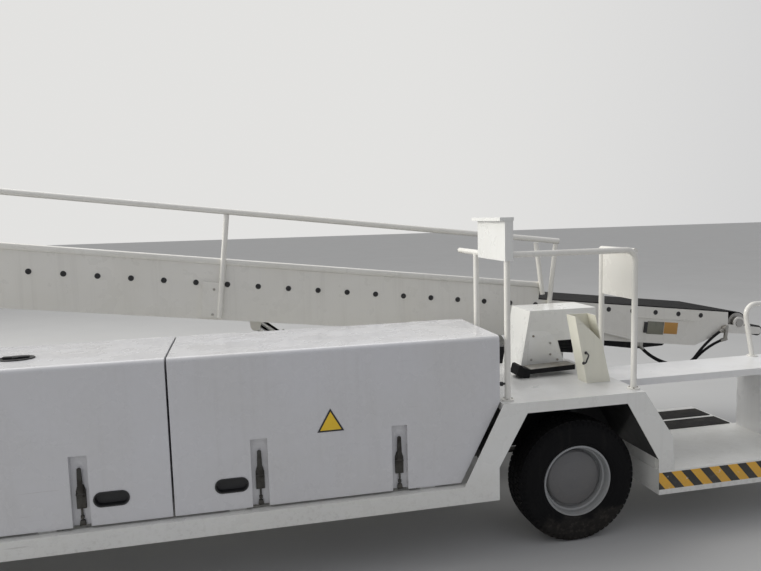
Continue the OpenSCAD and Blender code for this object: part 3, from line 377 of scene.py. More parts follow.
def lens_colours(s, place, base):
    """Amber for the low markers at the front, red for the tail lamp, clear for the headlamps."""
    x, _, z = s.split(place)
    amber = s.mix(s.math("LESS_THAN", z, MARKER_TOP), base, rgba((0.80, 0.26, 0.02)))
    return s.mix(s.math("GREATER_THAN", x, 0.0), amber, rgba((0.45, 0.015, 0.012)))


def make_finishes(sizes):
    GROUPS.update(make_groups())
    white = tuple(sizes.body_colour)
    cream = tuple(sizes.boom_colour)
    paint("body_paint", white)
    # The covers are the body's white; their colour is a darker, slightly bluer copy of it: painted shade
    # with a painted tint of sky light
    paint("cover_shaded_paint", tuple(sizes.cover_shaded_colour), gloss=0.24, film=0.26, chips=0.30, dents=1.8)
    paint("boom_paint", cream, gloss=0.30, film=0.36, clean_above=0.4, chips=0.6, dents=0.8)
    paint("rail_paint", cream, gloss=0.25, film=0.3, clean_above=0.4, chips=0.6, dents=0.1)
    paint("column_paint", (0.78, 0.765, 0.66), gloss=0.34, film=0.4, clean_above=0.4, chips=0.6)
    paint("deck_paint", white, gloss=0.33, film=0.36, clean_above=0.4, chips=0.7, dents=0.6,
          marks=lambda s, p, b: hazard_marks(s, p, deck_scuffs(s, p, b)))
    # The platform takes the walkway's grey-white paint made darker: painted shade over the platform's top
    paint("platform_shaded_paint", (0.70, 0.70, 0.69), gloss=0.32, film=0.36, clean_above=0.4, chips=0.6,
          dents=0.6, marks=deck_scuffs)
    paint("walkway_paint", (0.84, 0.84, 0.84), gloss=0.32, film=0.30, clean_above=0.4, chips=0.5, dents=0.6)
    paint("chassis_black", (0.016, 0.016, 0.018), gloss=0.45, film=0.45, clean_above=0.6, chips=0.4,
          tone=(0.024, 0.023, 0.022))
    # Black arch linings, made darker than the chassis black as painted shade inside the wheel arches
    paint("arch_shaded_black", (0.006, 0.006, 0.007), gloss=0.62, film=0.10, clean_above=0.4, chips=0.2,
          tone=(0.010, 0.010, 0.010))
    paint("wheel_silver", (0.30, 0.31, 0.32), gloss=0.34, film=0.4, clean_above=0.45, chips=0.6, dents=0.1,
          marks=hub_tone)
    # Black tyre rubber, made darker still as painted shade for tyres inside the wheel arches
    rubber("tyre_shaded_rubber", (0.0035, 0.0035, 0.004), rough=0.85, scale=220.0, scuffs=0.08, film=0.22,
           clean_above=0.2)
    rubber("black_rubber", (0.010, 0.010, 0.011), rough=0.8, scuffs=0.3, film=0.25)
    rubber("grit_strip", (0.022, 0.022, 0.023), rough=0.95, scale=420.0, scuffs=0.9)
    rubber("belt_rubber", (0.006, 0.006, 0.0065), rough=0.9, scale=260.0, scuffs=0.1, film=0.10,
           clean_above=0.3, marks=belt_ribs)
    metal("bare_steel", (0.50, 0.49, 0.47), rough=0.38)
    metal("chrome_rod", (0.74, 0.74, 0.74), rough=0.12, stain=0.2, film=0.15)
    metal("zinc_fitting", (0.46, 0.45, 0.42), rough=0.42, stain=0.8)
    metal("latch_steel", (0.085, 0.085, 0.080), rough=0.45, dull=(0.05, 0.045, 0.04), stain=0.9)
    metal("blank_plate", (0.24, 0.24, 0.20), rough=0.45, dull=(0.10, 0.10, 0.08), stain=0.9)
    plastic("ochre_plate", (0.50, 0.26, 0.06), rough=0.42)
    plastic("lens", (0.72, 0.73, 0.74), rough=0.14, marks=lens_colours, Coat_Weight=0.6)
    plastic("black_plastic", (0.02, 0.02, 0.021), rough=0.4)
    plastic("sign_yellow", (0.85, 0.56, 0.03), rough=0.35)


NODE_FINISH = {
    "body_paint": (
        "main_rails", "cross_members", "side_sills", "side_skirts", "front_body", "control_box",
        "side_console", "cover_frame", "right_lockers", "boom_mounts"),
    # The platform's darker paint is painted shade
    "platform_shaded_paint": ("platform",),
    "walkway_paint": ("walkway",),
    "cover_shaded_paint": ("rear_cover", "front_cover"),
    "boom_paint": ("boom_plates", "boom_bed", "end_arms"),
    "rail_paint": ("boom_rail", "rail_posts", "guard_rail", "grab_hoop", "lift_barrels"),
    "column_paint": ("control_column",),
    "deck_paint": ("rear_deck",),
    "chassis_black": (
        "tow_hitch", "rear_axle", "front_axle", "power_pack", "left_knuckle", "right_knuckle"),
    "arch_shaded_black": ("wheel_houses",),
    "wheel_silver": tuple(f"{corner}_wheel" for corner in CORNERS),
    "tyre_shaded_rubber": tuple(f"{corner}_tyre" for corner in CORNERS),
    "black_rubber": ("foot_pedal", "end_rollers", "boom_hoses"),
    "grit_strip": ("deck_treads",),
    "belt_rubber": ("belt",),
    "bare_steel": ("tie_rod", "drums", "belt_rollers"),
    "chrome_rod": ("lift_rods",),
    "lens": ("lamps",),
}


def dress(piece, finish):
    piece.data.materials.clear()
    piece.data.materials.append(FINISHES[finish])


# Modelling

PRIMITIVES = {
    "plane": bpy.ops.mesh.primitive_plane_add,
    "circle": bpy.ops.mesh.primitive_circle_add,
    "cylinder": bpy.ops.mesh.primitive_cylinder_add,
}


def calm():
    """Leave edit mode with nothing selected."""
    if bpy.context.object and bpy.context.object.mode != "OBJECT":
        bpy.ops.object.mode_set(mode="OBJECT")
    bpy.ops.object.select_all(action="DESELECT")


def take(*pieces):
    """Select only these pieces; the first becomes active."""
    calm()
    for piece in pieces:
        piece.select_set(True)
    bpy.context.view_layer.objects.active = pieces[0]


def begin(name, kind, **settings):
    """A primitive added with nothing else selected, its place taken into its mesh."""
    calm()
    PRIMITIVES[kind](**settings)
    piece = bpy.context.object
    piece.name = piece.data.name = name
    bpy.ops.object.transform_apply(location=True, rotation=True, scale=True)
    return piece


class Editing:
    """Edit mode on one piece, entered with nothing selected."""

    def __init__(self, piece):
        self.piece = piece

    def __enter__(self):
        take(self.piece)
        bpy.ops.object.mode_set(mode="EDIT")
        bpy.ops.mesh.select_mode(type="VERT")
        bpy.ops.mesh.select_all(action="DESELECT")
        return self

    def __exit__(self, kind, value, trace_back):
        if kind is None:
            bpy.ops.object.mode_set(mode="OBJECT")

    def everything(self):
        bpy.ops.mesh.select_mode(type="VERT")
        bpy.ops.mesh.select_all(action="SELECT")

    def pick(self, kind, test):
        """Select the vertices or faces that pass a test of their place or normal."""
        bpy.ops.mesh.select_mode(type=kind)
        bpy.ops.mesh.select_all(action="DESELECT")
        mesh = bmesh.from_edit_mesh(self.piece.data)
        found = [part for part in (mesh.verts if kind == "VERT" else mesh.faces) if test(part)]
        if not found:
            raise RuntimeError(f"{self.piece.name}: nothing to select")
        for part in found:
            part.select_set(True)
        mesh.select_flush_mode()
        bmesh.update_edit_mesh(self.piece.data)

    def extrude(self, by=(0.0, 0.0, 0.0)):
        bpy.ops.mesh.extrude_region_move(TRANSFORM_OT_translate={"value": tuple(by)})

    def lengthen(self, middle, by):
        """Pull the two halves of a round outline apart along X."""
        for side in (-1, 1):
            self.pick("VERT", lambda vert: (vert.co.x - middle) * side > 1e-5)
            bpy.ops.transform.translate(value=(side * by, 0.0, 0.0))

    def close(self):
        """Merge doubles and turn every face outwards."""
        self.everything()
        bpy.ops.mesh.remove_doubles(threshold=1e-5)
        bpy.ops.mesh.normals_make_consistent(inside=False)


def trace(name, points, fill=False):
    """A line of edges drawn point by point; fill closes it into one face."""
    points = [Vector(point) for point in points]
    piece = begin(name, "plane", size=0.01, location=points[0])
    with Editing(piece) as edit:
        edit.everything()
        bpy.ops.mesh.merge(type="CENTER")
        for last, point in zip(points, points[1:]):
            edit.extrude(point - last)
        if fill:
            edit.everything()
            bpy.ops.mesh.edge_face_add()
    return piece


def modify(piece, kind, **settings):
    """Add a modifier with its settings and apply it at once."""
    take(piece)
    bpy.ops.object.modifier_add(type=kind)
    modifier = piece.modifiers[-1]
    for key, value in settings.items():
        setattr(modifier, key, value)
    bpy.ops.object.modifier_apply(modifier=modifier.name)
    return piece


def soften(piece, width=0.0, segments=2):
    """Round the sharp edges and smooth the shading between them."""
    if width:
        modify(piece, "BEVEL", width=width, segments=segments, limit_method="ANGLE",
               angle_limit=math.radians(40))
    take(piece)
    bpy.ops.object.shade_smooth_by_angle(angle=math.radians(35))
    return piece


def plate(name, outline, through, width=0.0012):
    """A plate with its outline drawn, extruded through its thickness and softened."""
    piece = trace(name, outline, fill=True)
    with Editing(piece) as edit:
        edit.everything()
        edit.extrude(through)
        edit.close()
    return soften(piece, width)


def turned(name, profile, centre, axis, across, steps=32):
    """A turned piece: its profile in pairs of radius and distance along the axis, spun round it."""
    centre, axis, across = Vector(centre), Vector(axis), Vector(across)
    piece = trace(name, [centre + across * radius + axis * along for radius, along in profile])
    with Editing(piece) as edit:
        edit.everything()
        bpy.ops.mesh.spin(steps=steps, angle=2 * math.pi, center=tuple(centre), axis=tuple(axis))
        edit.close()
    return soften(piece)


def joined(name, pieces):
    take(*pieces)
    if len(pieces) > 1:
        bpy.ops.object.join()
    pieces[0].name = pieces[0].data.name = name
    return pieces[0]


def copied(piece, by):
    """A copy with its own mesh, moved by a distance that is taken into the mesh."""
    take(piece)
    bpy.ops.object.duplicate(linked=False)
    bpy.ops.transform.translate(value=tuple(by))
    bpy.ops.object.transform_apply(location=True, rotation=True, scale=True)
    return bpy.context.object


def spread(name, piece, places):
    """A piece made at the first place and its copies at the others, joined."""
    return joined(name, [piece] + [copied(piece, Vector(at) - Vector(places[0])) for at in places[1:]])


def tube(name, points, radius):
    """A round tube along points: a drawn line turned into a curve, given its width and made a mesh."""
    piece = trace(name, points)
    take(piece)
    bpy.ops.object.convert(target="CURVE")
    piece = bpy.context.object
    piece.data.bevel_depth, piece.data.bevel_resolution, piece.data.use_fill_caps = radius, 4, True
    bpy.ops.object.convert(target="MESH")
    piece = bpy.context.object
    piece.name = piece.data.name = name
    with Editing(piece) as edit:
        edit.close()
    return soften(piece)


def hex_head(name, at, axis, radius=0.009, height=0.006):
    """A hexagon bolt head that stands on a face."""
    axis = Vector(axis)
    piece = begin(name, "cylinder", vertices=6, radius=radius, depth=height,
                  location=Vector(at) + axis * height / 2, rotation=axis.to_track_quat("Z", "Y").to_euler())
    with Editing(piece) as edit:
        edit.pick("FACE", lambda face: face.normal.dot(axis) > 0.9)
        bpy.ops.mesh.inset(thickness=radius * 0.18)
        bpy.ops.transform.translate(value=tuple(axis * height * 0.18))
    return soften(piece, radius * 0.06, 1)


def fit(piece, body, finish):
    """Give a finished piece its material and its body."""
    dress(piece, finish)
    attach(piece, body)
    return piece


# Tyres

TREAD_STEPS = 384
BLOCK_STEPS = 6
CROWN = 0.3335

# Half of the section from bead to crown, in pairs of radius and distance from the middle
TYRE_HALF = (
    (0.1962, 0.0755), (0.2000, 0.0840), (0.2125, 0.0925), (0.2180, 0.0950), (0.2205, 0.0938),
    (0.2235, 0.0958), (0.2450, 0.0972), (0.2680, 0.0975), (0.2705, 0.0962), (0.2730, 0.0970),
    (0.2900, 0.0950), (0.3080, 0.0905), (0.3200, 0.0850), (0.3270, 0.0800), (0.3300, 0.0760),
    (0.3330, 0.0450), (0.3330, 0.0380), (CROWN, 0.0050))

# Each rib of blocks: its two edges, and how many spin steps its gaps are ahead
TREAD_RIBS = ((0.045, 0.076, 0), (0.005, 0.038, 3), (-0.038, -0.005, 1), (-0.076, -0.045, 4))


def spin_step(centre):
    """Number of the spin step that a face of a tyre at the origin belongs to."""
    return int((math.atan2(centre.z, centre.x) % (2 * math.pi)) / (2 * math.pi) * TREAD_STEPS)


def in_tread_block(face):
    centre = face.calc_center_median()
    if math.hypot(centre.x, centre.z) < 0.329 or abs(face.normal.y) > 0.5:
        return False
    return any(low < centre.y < high and (spin_step(centre) + ahead) % BLOCK_STEPS
               for low, high, ahead in TREAD_RIBS)


def in_shoulder_slot(face):
    centre = face.calc_center_median()
    radius = math.hypot(centre.x, centre.z)
    return 0.309 < radius < 0.3268 and abs(centre.y) > 0.079 and spin_step(centre) % BLOCK_STEPS < 2


def model_tyre(tread_depth):
    """One tyre at the origin: a spun section with tread blocks raised and slots cut in its shoulders."""
    profile = list(TYRE_HALF) + [(radius, -across) for radius, across in reversed(TYRE_HALF)]
    profile.append(profile[0])
    tyre = turned("tyre", profile, (0, 0, 0), (0, 1, 0), (1, 0, 0), TREAD_STEPS)
    with Editing(tyre) as edit:
        edit.pick("FACE", in_tread_block)
        grow = 1.0 + tread_depth / CROWN
        edit.extrude()
        bpy.ops.transform.resize(value=(grow, 1.0, grow), center_override=(0.0, 0.0, 0.0))
        edit.pick("FACE", in_shoulder_slot)
        edit.extrude()
        bpy.ops.transform.resize(value=(0.988, 0.985, 0.988), center_override=(0.0, 0.0, 0.0))
        edit.everything()
        bpy.ops.mesh.normals_make_consistent(inside=False)
    return soften(tyre)


# Boom fittings

PLATE_OUT = 0.380
IDLER_W = 0.275
IDLERS = [1.1086 - 0.1935 * i for i in range(39)]
GUARD_FRONT, GUARD_REAR = -6.4590, -0.2270
BRACKETS = (-2.409, -4.669, -6.169)
BRACKET_BOLTS = (0.080, 0.241)
PIVOT_COVER_HALF = 0.092

# Flat pieces on the left side plate: place along the boom and above it, thickness, edge, finish and slot
BOOM_PLATES = {
    "plate_grey": ((0.664, 0.804, 0.112, 0.207), 0.002, 0.0006, "blank_plate", "bare_steel"),
    "plate_holder": ((0.637, 0.662, 0.120, 0.200), 0.012, 0.002, "black_plastic", "black_rubber"),
    "plate_ochre": ((0.808, 0.922, 0.121, 0.207), 0.002, 0.0006, "ochre_plate", "lamp_plastic"),
}
BRACE = ((0.292, 0.117), (0.536, 0.077), (0.536, 0.064), (0.292, 0.104))
LIP = ((0.0, 0.396), (-0.006, 0.398), (-0.010, 0.404), (-0.010, 0.426), (-0.007, 0.433), (0.0, 0.436))


def model_idler_caps(name, side, radius):
    """Dished plugs over the ends of the idlers' axles in one side plate."""
    places = [on_boom(s, side * PLATE_OUT, IDLER_W) for s in IDLERS]
    profile = ((radius, 0.0), (radius, 0.0022), (radius - 0.0025, 0.0042), (0.011, 0.0042),
               (0.0095, 0.0024), (0, 0.0024))
    return spread(name, turned("cap", profile, places[0], (0, side, 0), (1, 0, 0), 20), places)


def boom_rect(s0, s1, w0, w1, y=-PLATE_OUT):
    return [on_boom(s, y, w) for s, w in ((s0, w0), (s1, w0), (s1, w1), (s0, w1))]


def make_boom_fittings(sizes):
    for name, side in (("idler_caps_left", -1), ("idler_caps_right", 1)):
        fit(model_idler_caps(name, side, sizes.cap_radius), "boom", "black_plastic")
    for name, (place, thick, edge, finish, slot) in BOOM_PLATES.items():
        fit(plate(name, boom_rect(*place), (0.0, -thick, 0.0), edge), "boom", finish)
    brace = plate("boom_brace", [on_boom(s, -PLATE_OUT, w) for s, w in BRACE], (0.0, -0.026, 0.0))
    strip = plate("boom_strip", boom_rect(0.563, 1.060, 0.228, 0.235), (0.0, -0.006, 0.0))
    lip = plate("guard_lip", [on_boom(GUARD_FRONT, y - PLATE_OUT, w) for y, w in LIP],
                on_boom(GUARD_REAR, 0.0, 0.0) - on_boom(GUARD_FRONT, 0.0, 0.0))
    fit(joined("boom_trim", [brace, strip, lip]), "boom", "boom_paint")
    places = [on_boom(s - 0.045, -0.403, w) for s in BRACKETS for w in BRACKET_BOLTS]
    bolts = spread("bracket_bolts", hex_head("bolt", places[0], (0, -1, 0)), places)
    fit(bolts, "boom", "zinc_fitting")
    ridges = [(0.336, -0.058)]
    for w in (-0.058, -0.033, -0.008, 0.017):
        ridges += [(0.366, w), (0.3725, w + 0.004), (0.3725, w + 0.016), (0.366, w + 0.020)]
    ridges.append((0.336, 0.037))
    for name, side in (("pivot_cover_left", -1), ("pivot_cover_right", 1)):
        cover = plate(name, [on_boom(-PIVOT_COVER_HALF, side * y, w) for y, w in ridges],
                      on_boom(PIVOT_COVER_HALF, 0.0, 0.0) - on_boom(-PIVOT_COVER_HALF, 0.0, 0.0), 0.0015)
        fit(cover, "boom", "black_rubber")


# Hoses

HOSE_ROOT = 0.605
LONG_ARC, TIGHT_ARC = 0.500, 0.160
BOSS_REACH = 0.7098
RISER_S, RISER_Y = 1.335, -0.3943


def arc(low, radius, start, end, steps):
    """Points of an arc that bottoms out at low, by their angles in degrees from there."""
    turns = [math.radians(start + (end - start) * i / steps) for i in range(steps + 1)]
    return [(low[0] + radius * math.sin(a), low[1] + radius * (1 - math.cos(a))) for a in turns]


def hose_line(low, y, lean_out, left, climb, top_radius, lean):
    """Points of a hose under the boom: a long left arc, a tight bend and an arc that leans over."""
    points = arc(low, LONG_ARC, -left, 0.0, 18) + arc(low, TIGHT_ARC, 0.0, climb, 16)[1:]
    knee = points[-1]
    c = math.radians(climb)
    for i in range(1, 15):
        a = math.radians(climb + (lean - climb) * i / 14)
        points.append((knee[0] + top_radius * (math.sin(c) - math.sin(a)),
                       knee[1] + top_radius * (math.cos(a) - math.cos(c))))
    turn = math.radians(lean_out)
    return [on_boom(HOSE_ROOT + (s - HOSE_ROOT) * math.cos(turn), y - (s - HOSE_ROOT) * math.sin(turn), w)
            for s, w in points]


def crimp(name, end, towards, radius):
    """Crimped sleeve and nut at a hose's end, the nut towards the hose's fitting."""
    along = (Vector(end) - Vector(towards)).normalized()
    across = along.orthogonal().normalized()
    profile = ((0.0, -0.052), (radius + 0.0005, -0.052), (radius + 0.003, -0.049), (radius + 0.003, -0.022),
               (radius + 0.0012, -0.019), (radius + 0.005, -0.016), (radius + 0.005, 0.0), (0.0, 0.0))
    return turned(name, profile, end, along, across, 12)


def make_hoses(sizes):
    lines = (
        hose_line(low=(0.965, -0.108), y=-0.367, lean_out=3.0, left=43.5, climb=58.0, top_radius=0.780,
                  lean=35.0),
        hose_line(low=(0.985, -0.120), y=-0.342, lean_out=4.1, left=45.5, climb=52.0, top_radius=0.530,
                  lean=20.0))
    hoses = [tube("hose", line, sizes.hose_radius) for line in lines]
    steel = [crimp("crimp", line[end], line[inner], sizes.hose_radius)
             for line in lines for end, inner in ((0, 2), (-1, -3))]
    block = plate("hose_block", boom_rect(0.600, 0.650, 0.015, 0.045, -0.379), (0.0, 0.049, 0.0), 0.002)
    # A thin black wedge-shaped plate that hangs just below the left side plate's lower edge
    wedge_outline = ((0.250, 0.0445), (0.250, 0.010), (0.600, -0.004), (0.650, 0.006), (0.815, 0.030),
                 (0.830, 0.0445))
    wedge = plate("under_boom_wedge", [on_boom(s, -0.3765, w) for s, w in wedge_outline], (0.0, 0.010, 0.0), 0.002)
    for piece in hoses + [wedge]:
        dress(piece, "black_rubber")
    boss_at = on_boom(HOSE_ROOT + BOSS_REACH * math.cos(math.radians(3.0)), -0.3803, 0.1928)
    boss = turned("boss", ((0, 0), (0.0158, 0), (0.0158, 0.026), (0.013, 0.0335), (0, 0.0335)), boss_at,
                  (0, -1, 0), (1, 0, 0), 24)
    foot = on_boom(RISER_S, RISER_Y, 0.098)
    up = (on_boom(RISER_S, RISER_Y, 0.215) - foot).normalized()
    profile = ((0, 0.001), (0.011, 0.001), (0.0138, 0.004), (0.0138, 0.108), (0.011, 0.1165), (0, 0.1165))
    riser = turned("riser", profile, foot, up, (0, 1, 0), 24)
    for piece in steel + [block, boss, riser]:
        dress(piece, "zinc_fitting")
    hose_set = joined("boom_hose_set", hoses + [wedge] + steel + [block, boss, riser])
    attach(hose_set, "boom")
    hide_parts("boom_hoses")


# Cover fittings

COVER_FACE = -0.990
RECESS_BACK = -0.962
LATCHES = {"rear_cover": (0.261, 0.955), "front_cover": (-0.547, -1.048)}
HAND_HOLES = {"rear_cover": 0.127, "front_cover": -0.413}
HAND_HOLE_Z = 0.540
LIFT_HANDLE = Vector((-0.836, -0.755, 1.175))

# Outlines of a latch's parts, as distances from its middle line and heights
LATCH_BODY = ((-0.021, 0.500), (0.021, 0.500), (0.021, 0.585), (0.013, 0.612), (-0.013, 0.612),
              (-0.021, 0.585))
LATCH_LEVER = ((-0.013, 0.554), (0.013, 0.554), (0.0115, 0.640), (0.0095, 0.692), (0.0, 0.697),
               (-0.0095, 0.692), (-0.0115, 0.640))
LATCH_HOOK = ((-0.014, 0.421), (0.014, 0.421), (0.010, 0.446), (-0.010, 0.446))
LATCH_ROD = ((0, 0), (0.0048, 0), (0.0048, 0.030), (0.0085, 0.031), (0.0085, 0.043), (0.0048, 0.044),
             (0.0048, 0.082), (0, 0.082))


def upright(points, y, aside=0.0):
    """Points in X and Z put at one place across the vehicle, moved along it by aside."""
    return [(aside + x, y, z) for x, z in points]


def model_latch(x):
    """Over-centre latch: body, tapered lever on its pivot, and draw rod down to the sill's hook."""
    body = plate("body", upright(LATCH_BODY, RECESS_BACK, x), (0.0, -0.0115, 0.0), 0.002)
    lever = plate("lever", upright(LATCH_LEVER, -0.9735, x), (0.0, -0.0085, 0.0), 0.0025)
    pin = begin("pin", "cylinder", vertices=20, radius=0.0065, depth=0.040, location=(x, -0.977, 0.570),
                rotation=(0.0, math.pi / 2, 0.0))
    soften(pin, 0.0012)
    rod = turned("rod", LATCH_ROD, (x, -0.971, 0.424), (0, 0, 1), (1, 0, 0), 20)
    hook = plate("hook", upright(LATCH_HOOK, -0.9635, x), (0.0, -0.015, 0.0), 0.0015)
    return joined("latch", [body, lever, pin, rod, hook])


def model_hand_cup(name, x):
    """Black cup pressed into a cover's hand hole, with a flat flange round it."""
    piece = begin(name, "circle", vertices=48, radius=0.0365, fill_type="NGON",
                  location=(x, COVER_FACE - 0.0032, HAND_HOLE_Z), rotation=(math.pi / 2, 0.0, 0.0))
    with Editing(piece) as edit:
        edit.lengthen(x, 0.043)
        edit.everything()
        bpy.ops.mesh.inset(thickness=0.0065)
        edit.extrude((0.0, 0.004, 0.0))
        bpy.ops.mesh.inset(thickness=0.0006)
        edit.extrude((0.0, 0.030, 0.0))
        edit.everything()
        mesh = bmesh.from_edit_mesh(piece.data)
        if sum(face.normal.y * face.calc_area() for face in mesh.faces) > 0:
            bpy.ops.mesh.flip_normals()
    modify(piece, "SOLIDIFY", thickness=0.0015, offset=-1.0)
    return soften(piece, 0.0006)


def make_cover_fittings():
    for body, places in LATCHES.items():
        pair = spread(f"{body}_latches", model_latch(places[0]), [(x, 0.0, 0.0) for x in places])
        fit(pair, body, "latch_steel")
        cup = model_hand_cup(f"{body}_hand_cup", HAND_HOLES[body])
        fit(cup, body, "black_plastic")
    rim = plate("sign_rim", upright([(0.5435, 0.7575), (0.6765, 0.7575), (0.610, 0.8735)], COVER_FACE),
                (0.0, -0.0022, 0.0), 0.0009)
    fit(rim, "rear_cover", "black_plastic")
    inner = upright([(0.5575, 0.7660), (0.6625, 0.7660), (0.610, 0.8575)], COVER_FACE - 0.0021)
    face = plate("sign_face", inner, (0.0, -0.0010, 0.0), 0.0004)
    fit(face, "rear_cover", "sign_yellow")
    dish = begin("lift_handle", "circle", vertices=56, radius=0.082, fill_type="NGON", location=LIFT_HANDLE)
    with Editing(dish) as edit:
        edit.everything()
        bpy.ops.transform.resize(value=(1.0, 0.74, 1.0), center_override=LIFT_HANDLE)
        edit.extrude((0.0, 0.0, 0.006))
        bpy.ops.mesh.inset(thickness=0.014)
        edit.extrude((0.0, 0.0, -0.0035))
        edit.close()
    soften(dish, 0.0015)
    corners = ((-0.059, -0.012), (0.059, -0.012), (0.059, 0.012), (-0.059, 0.012))
    bar = plate("bar", [LIFT_HANDLE + Vector((x, y, 0.003)) for x, y in corners], (0.0, 0.0, 0.011), 0.004)
    stem = begin("stem", "cylinder", vertices=24, radius=0.019, depth=0.008,
                 location=LIFT_HANDLE + Vector((0.0, 0.0, 0.007)))
    soften(stem, 0.002)
    fit(joined("lift_handle", [dish, bar, stem]), "front_cover", "black_plastic")


# Operator station fittings

HOOP_FEET, HOOP_Y, HOOP_TOP = (3.466, 3.814), -0.480, 1.168
HOOP_BEND, HOOP_TUBE, HOOP_SPLAY = 0.070, 0.016, 12.0
CONSOLE_SIDE = -0.425
CONSOLE_PANEL = (
    (1.900, 0.866), (2.136, 0.866), (2.145, 0.880), (2.099, 0.992), (2.083, 1.026), (2.062, 1.052),
    (2.030, 1.068), (1.990, 1.074), (1.925, 1.074))
CONSOLE_BOLTS = ((2.057, 0.995), (2.057, 0.926), (1.945, 1.045), (1.930, 0.900), (2.105, 0.890))
COLUMN_SIDE = -0.775

# The column's handle: place along the vehicle, distance out from the column's side, height
COLUMN_HANDLE = (
    (2.100, 0.001, 1.000), (2.102, 0.016, 0.998), (2.104, 0.024, 0.990), (2.100, 0.026, 0.980),
    (2.093, 0.026, 0.966), (2.090, 0.025, 0.954), (2.088, 0.018, 0.945), (2.086, 0.001, 0.942))
POSTS = ((1.550, -0.955), (1.550, -0.510), (2.285, -0.955), (2.285, -0.625))
POST_BOLT_CIRCLE = 0.024
PEDAL_TREAD = ((1.864, 0.8725), (2.146, 0.8825), (2.146, 0.8865), (1.864, 0.8765))


def make_grab_hoop():
    """The hoop at the walkway's end: one bent tube with splayed legs on round feet."""
    splay = math.radians(HOOP_SPLAY)
    bend_z = HOOP_TOP - HOOP_BEND
    rise = (bend_z - PLATFORM_Z - HOOP_BEND * math.sin(splay)) / math.cos(splay)
    knee = HOOP_BEND * math.cos(splay) - rise * math.sin(splay)
    turns = [math.radians((90.0 + HOOP_SPLAY) * i / 16 - HOOP_SPLAY) for i in range(17)]
    line = []
    for foot, side in zip(HOOP_FEET, (-1, 1)):
        leg = [(foot, HOOP_Y, PLATFORM_Z)]
        leg += [(foot - side * (knee - HOOP_BEND * math.cos(a)), HOOP_Y, bend_z + HOOP_BEND * math.sin(a))
                for a in turns]
        line += leg if side < 0 else leg[::-1]
    pieces = [tube("hoop", line, HOOP_TUBE)]
    profile = ((0.0, 0.0), (0.032, 0.0), (0.032, 0.005), (0.030, 0.007), (0.021, 0.008), (0.0, 0.008))
    for foot in HOOP_FEET:
        pieces.append(turned("foot", profile, (foot, HOOP_Y, PLATFORM_Z), (0, 0, 1), (1, 0, 0)))
    hoop = fit(joined("walkway_hoop", pieces), "chassis", "rail_paint")
    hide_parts("grab_hoop")


def make_station_fittings():
    make_grab_hoop()
    panel = plate("console_panel", upright(CONSOLE_PANEL, CONSOLE_SIDE), (0.0, -0.0025, 0.0), 0.0012)
    fit(panel, "chassis", "body_paint")
    places = upright(CONSOLE_BOLTS, CONSOLE_SIDE - 0.0025)
    bolts = spread("console_bolts", hex_head("bolt", places[0], (0, -1, 0), 0.0075, 0.005), places)
    fit(bolts, "chassis", "zinc_fitting")
    pieces = [tube("column_handle", [(x, COLUMN_SIDE - out, z) for x, out, z in COLUMN_HANDLE], 0.0045)]
    for x, _, z in (COLUMN_HANDLE[0], COLUMN_HANDLE[-1]):
        foot = begin("foot", "cylinder", vertices=24, radius=0.009, depth=0.004,
                     location=(x, COLUMN_SIDE - 0.002, z), rotation=(math.pi / 2, 0.0, 0.0))
        pieces.append(soften(foot, 0.001))
    fit(joined("column_handle", pieces), "chassis", "black_plastic")
    profile = ((0, 0), (0.006, 0), (0.006, 0.008), (0.010, 0.011), (0.0125, 0.017), (0.0115, 0.024),
               (0.007, 0.028), (0, 0.029))
    knob = turned("post_knob", profile, (1.5345, -0.955, 0.913), (-1, 0, 0), (0, 1, 0), 24)
    fit(knob, "chassis", "black_plastic")
    places = [(x + POST_BOLT_CIRCLE * math.cos(a), y + POST_BOLT_CIRCLE * math.sin(a), PLATFORM_Z + 0.007)
              for x, y in POSTS for a in (0.0, 2 * math.pi / 3, 4 * math.pi / 3)]
    bolts = spread("post_bolts", hex_head("bolt", places[0], (0, 0, 1), 0.0045, 0.004), places)
    fit(bolts, "chassis", "zinc_fitting")
    tread = plate("pedal_tread", upright(PEDAL_TREAD, -0.5645), (0.0, 0.099, 0.0), 0.001)
    fit(tread, "chassis", "zinc_fitting")


# Body fittings

LOCKER_LATCHES = {"front_locker_latch": -0.7665, "rear_locker_latch": 0.6385}
PADDLE = ((-0.034, 0.548), (0.012, 0.548), (0.012, 0.572), (-0.034, 0.572))


def make_body_fittings():
    for name, x in LOCKER_LATCHES.items():
        piece = begin(name, "circle", vertices=32, radius=0.024, fill_type="NGON",
                      location=(x, 0.998, 0.560), rotation=(-math.pi / 2, 0.0, 0.0))
        with Editing(piece) as edit:
            edit.lengthen(x, 0.035)
            edit.everything()
            edit.extrude((0.0, 0.004, 0.0))
            bpy.ops.mesh.inset(thickness=0.005)
            edit.extrude((0.0, -0.003, 0.0))
            edit.close()
        soften(piece, 0.0008)
        paddle = plate("paddle", upright(PADDLE, 0.999, x), (0.0, 0.006, 0.0), 0.002)
        fit(joined(name, [piece, paddle]), "chassis", "black_plastic")


# Stage

CAMERA_AT = (0.208, -4.087, 1.797)
CAMERA_YAW, CAMERA_PITCH, CAMERA_ROLL = (math.radians(a) for a in (12.20, 6.02, -1.52))
CAMERA_PIXELS, PICTURE_WIDTH, SENSOR = 655.0, 761, 36.0
FLOOR_SIZE = 120.0
BRIGHT_SIDE = (-0.55, 0.80, 0.15)
SKY_DULL, SKY_BRIGHT = (0.50, 0.51, 0.55), (0.90, 0.895, 0.88)


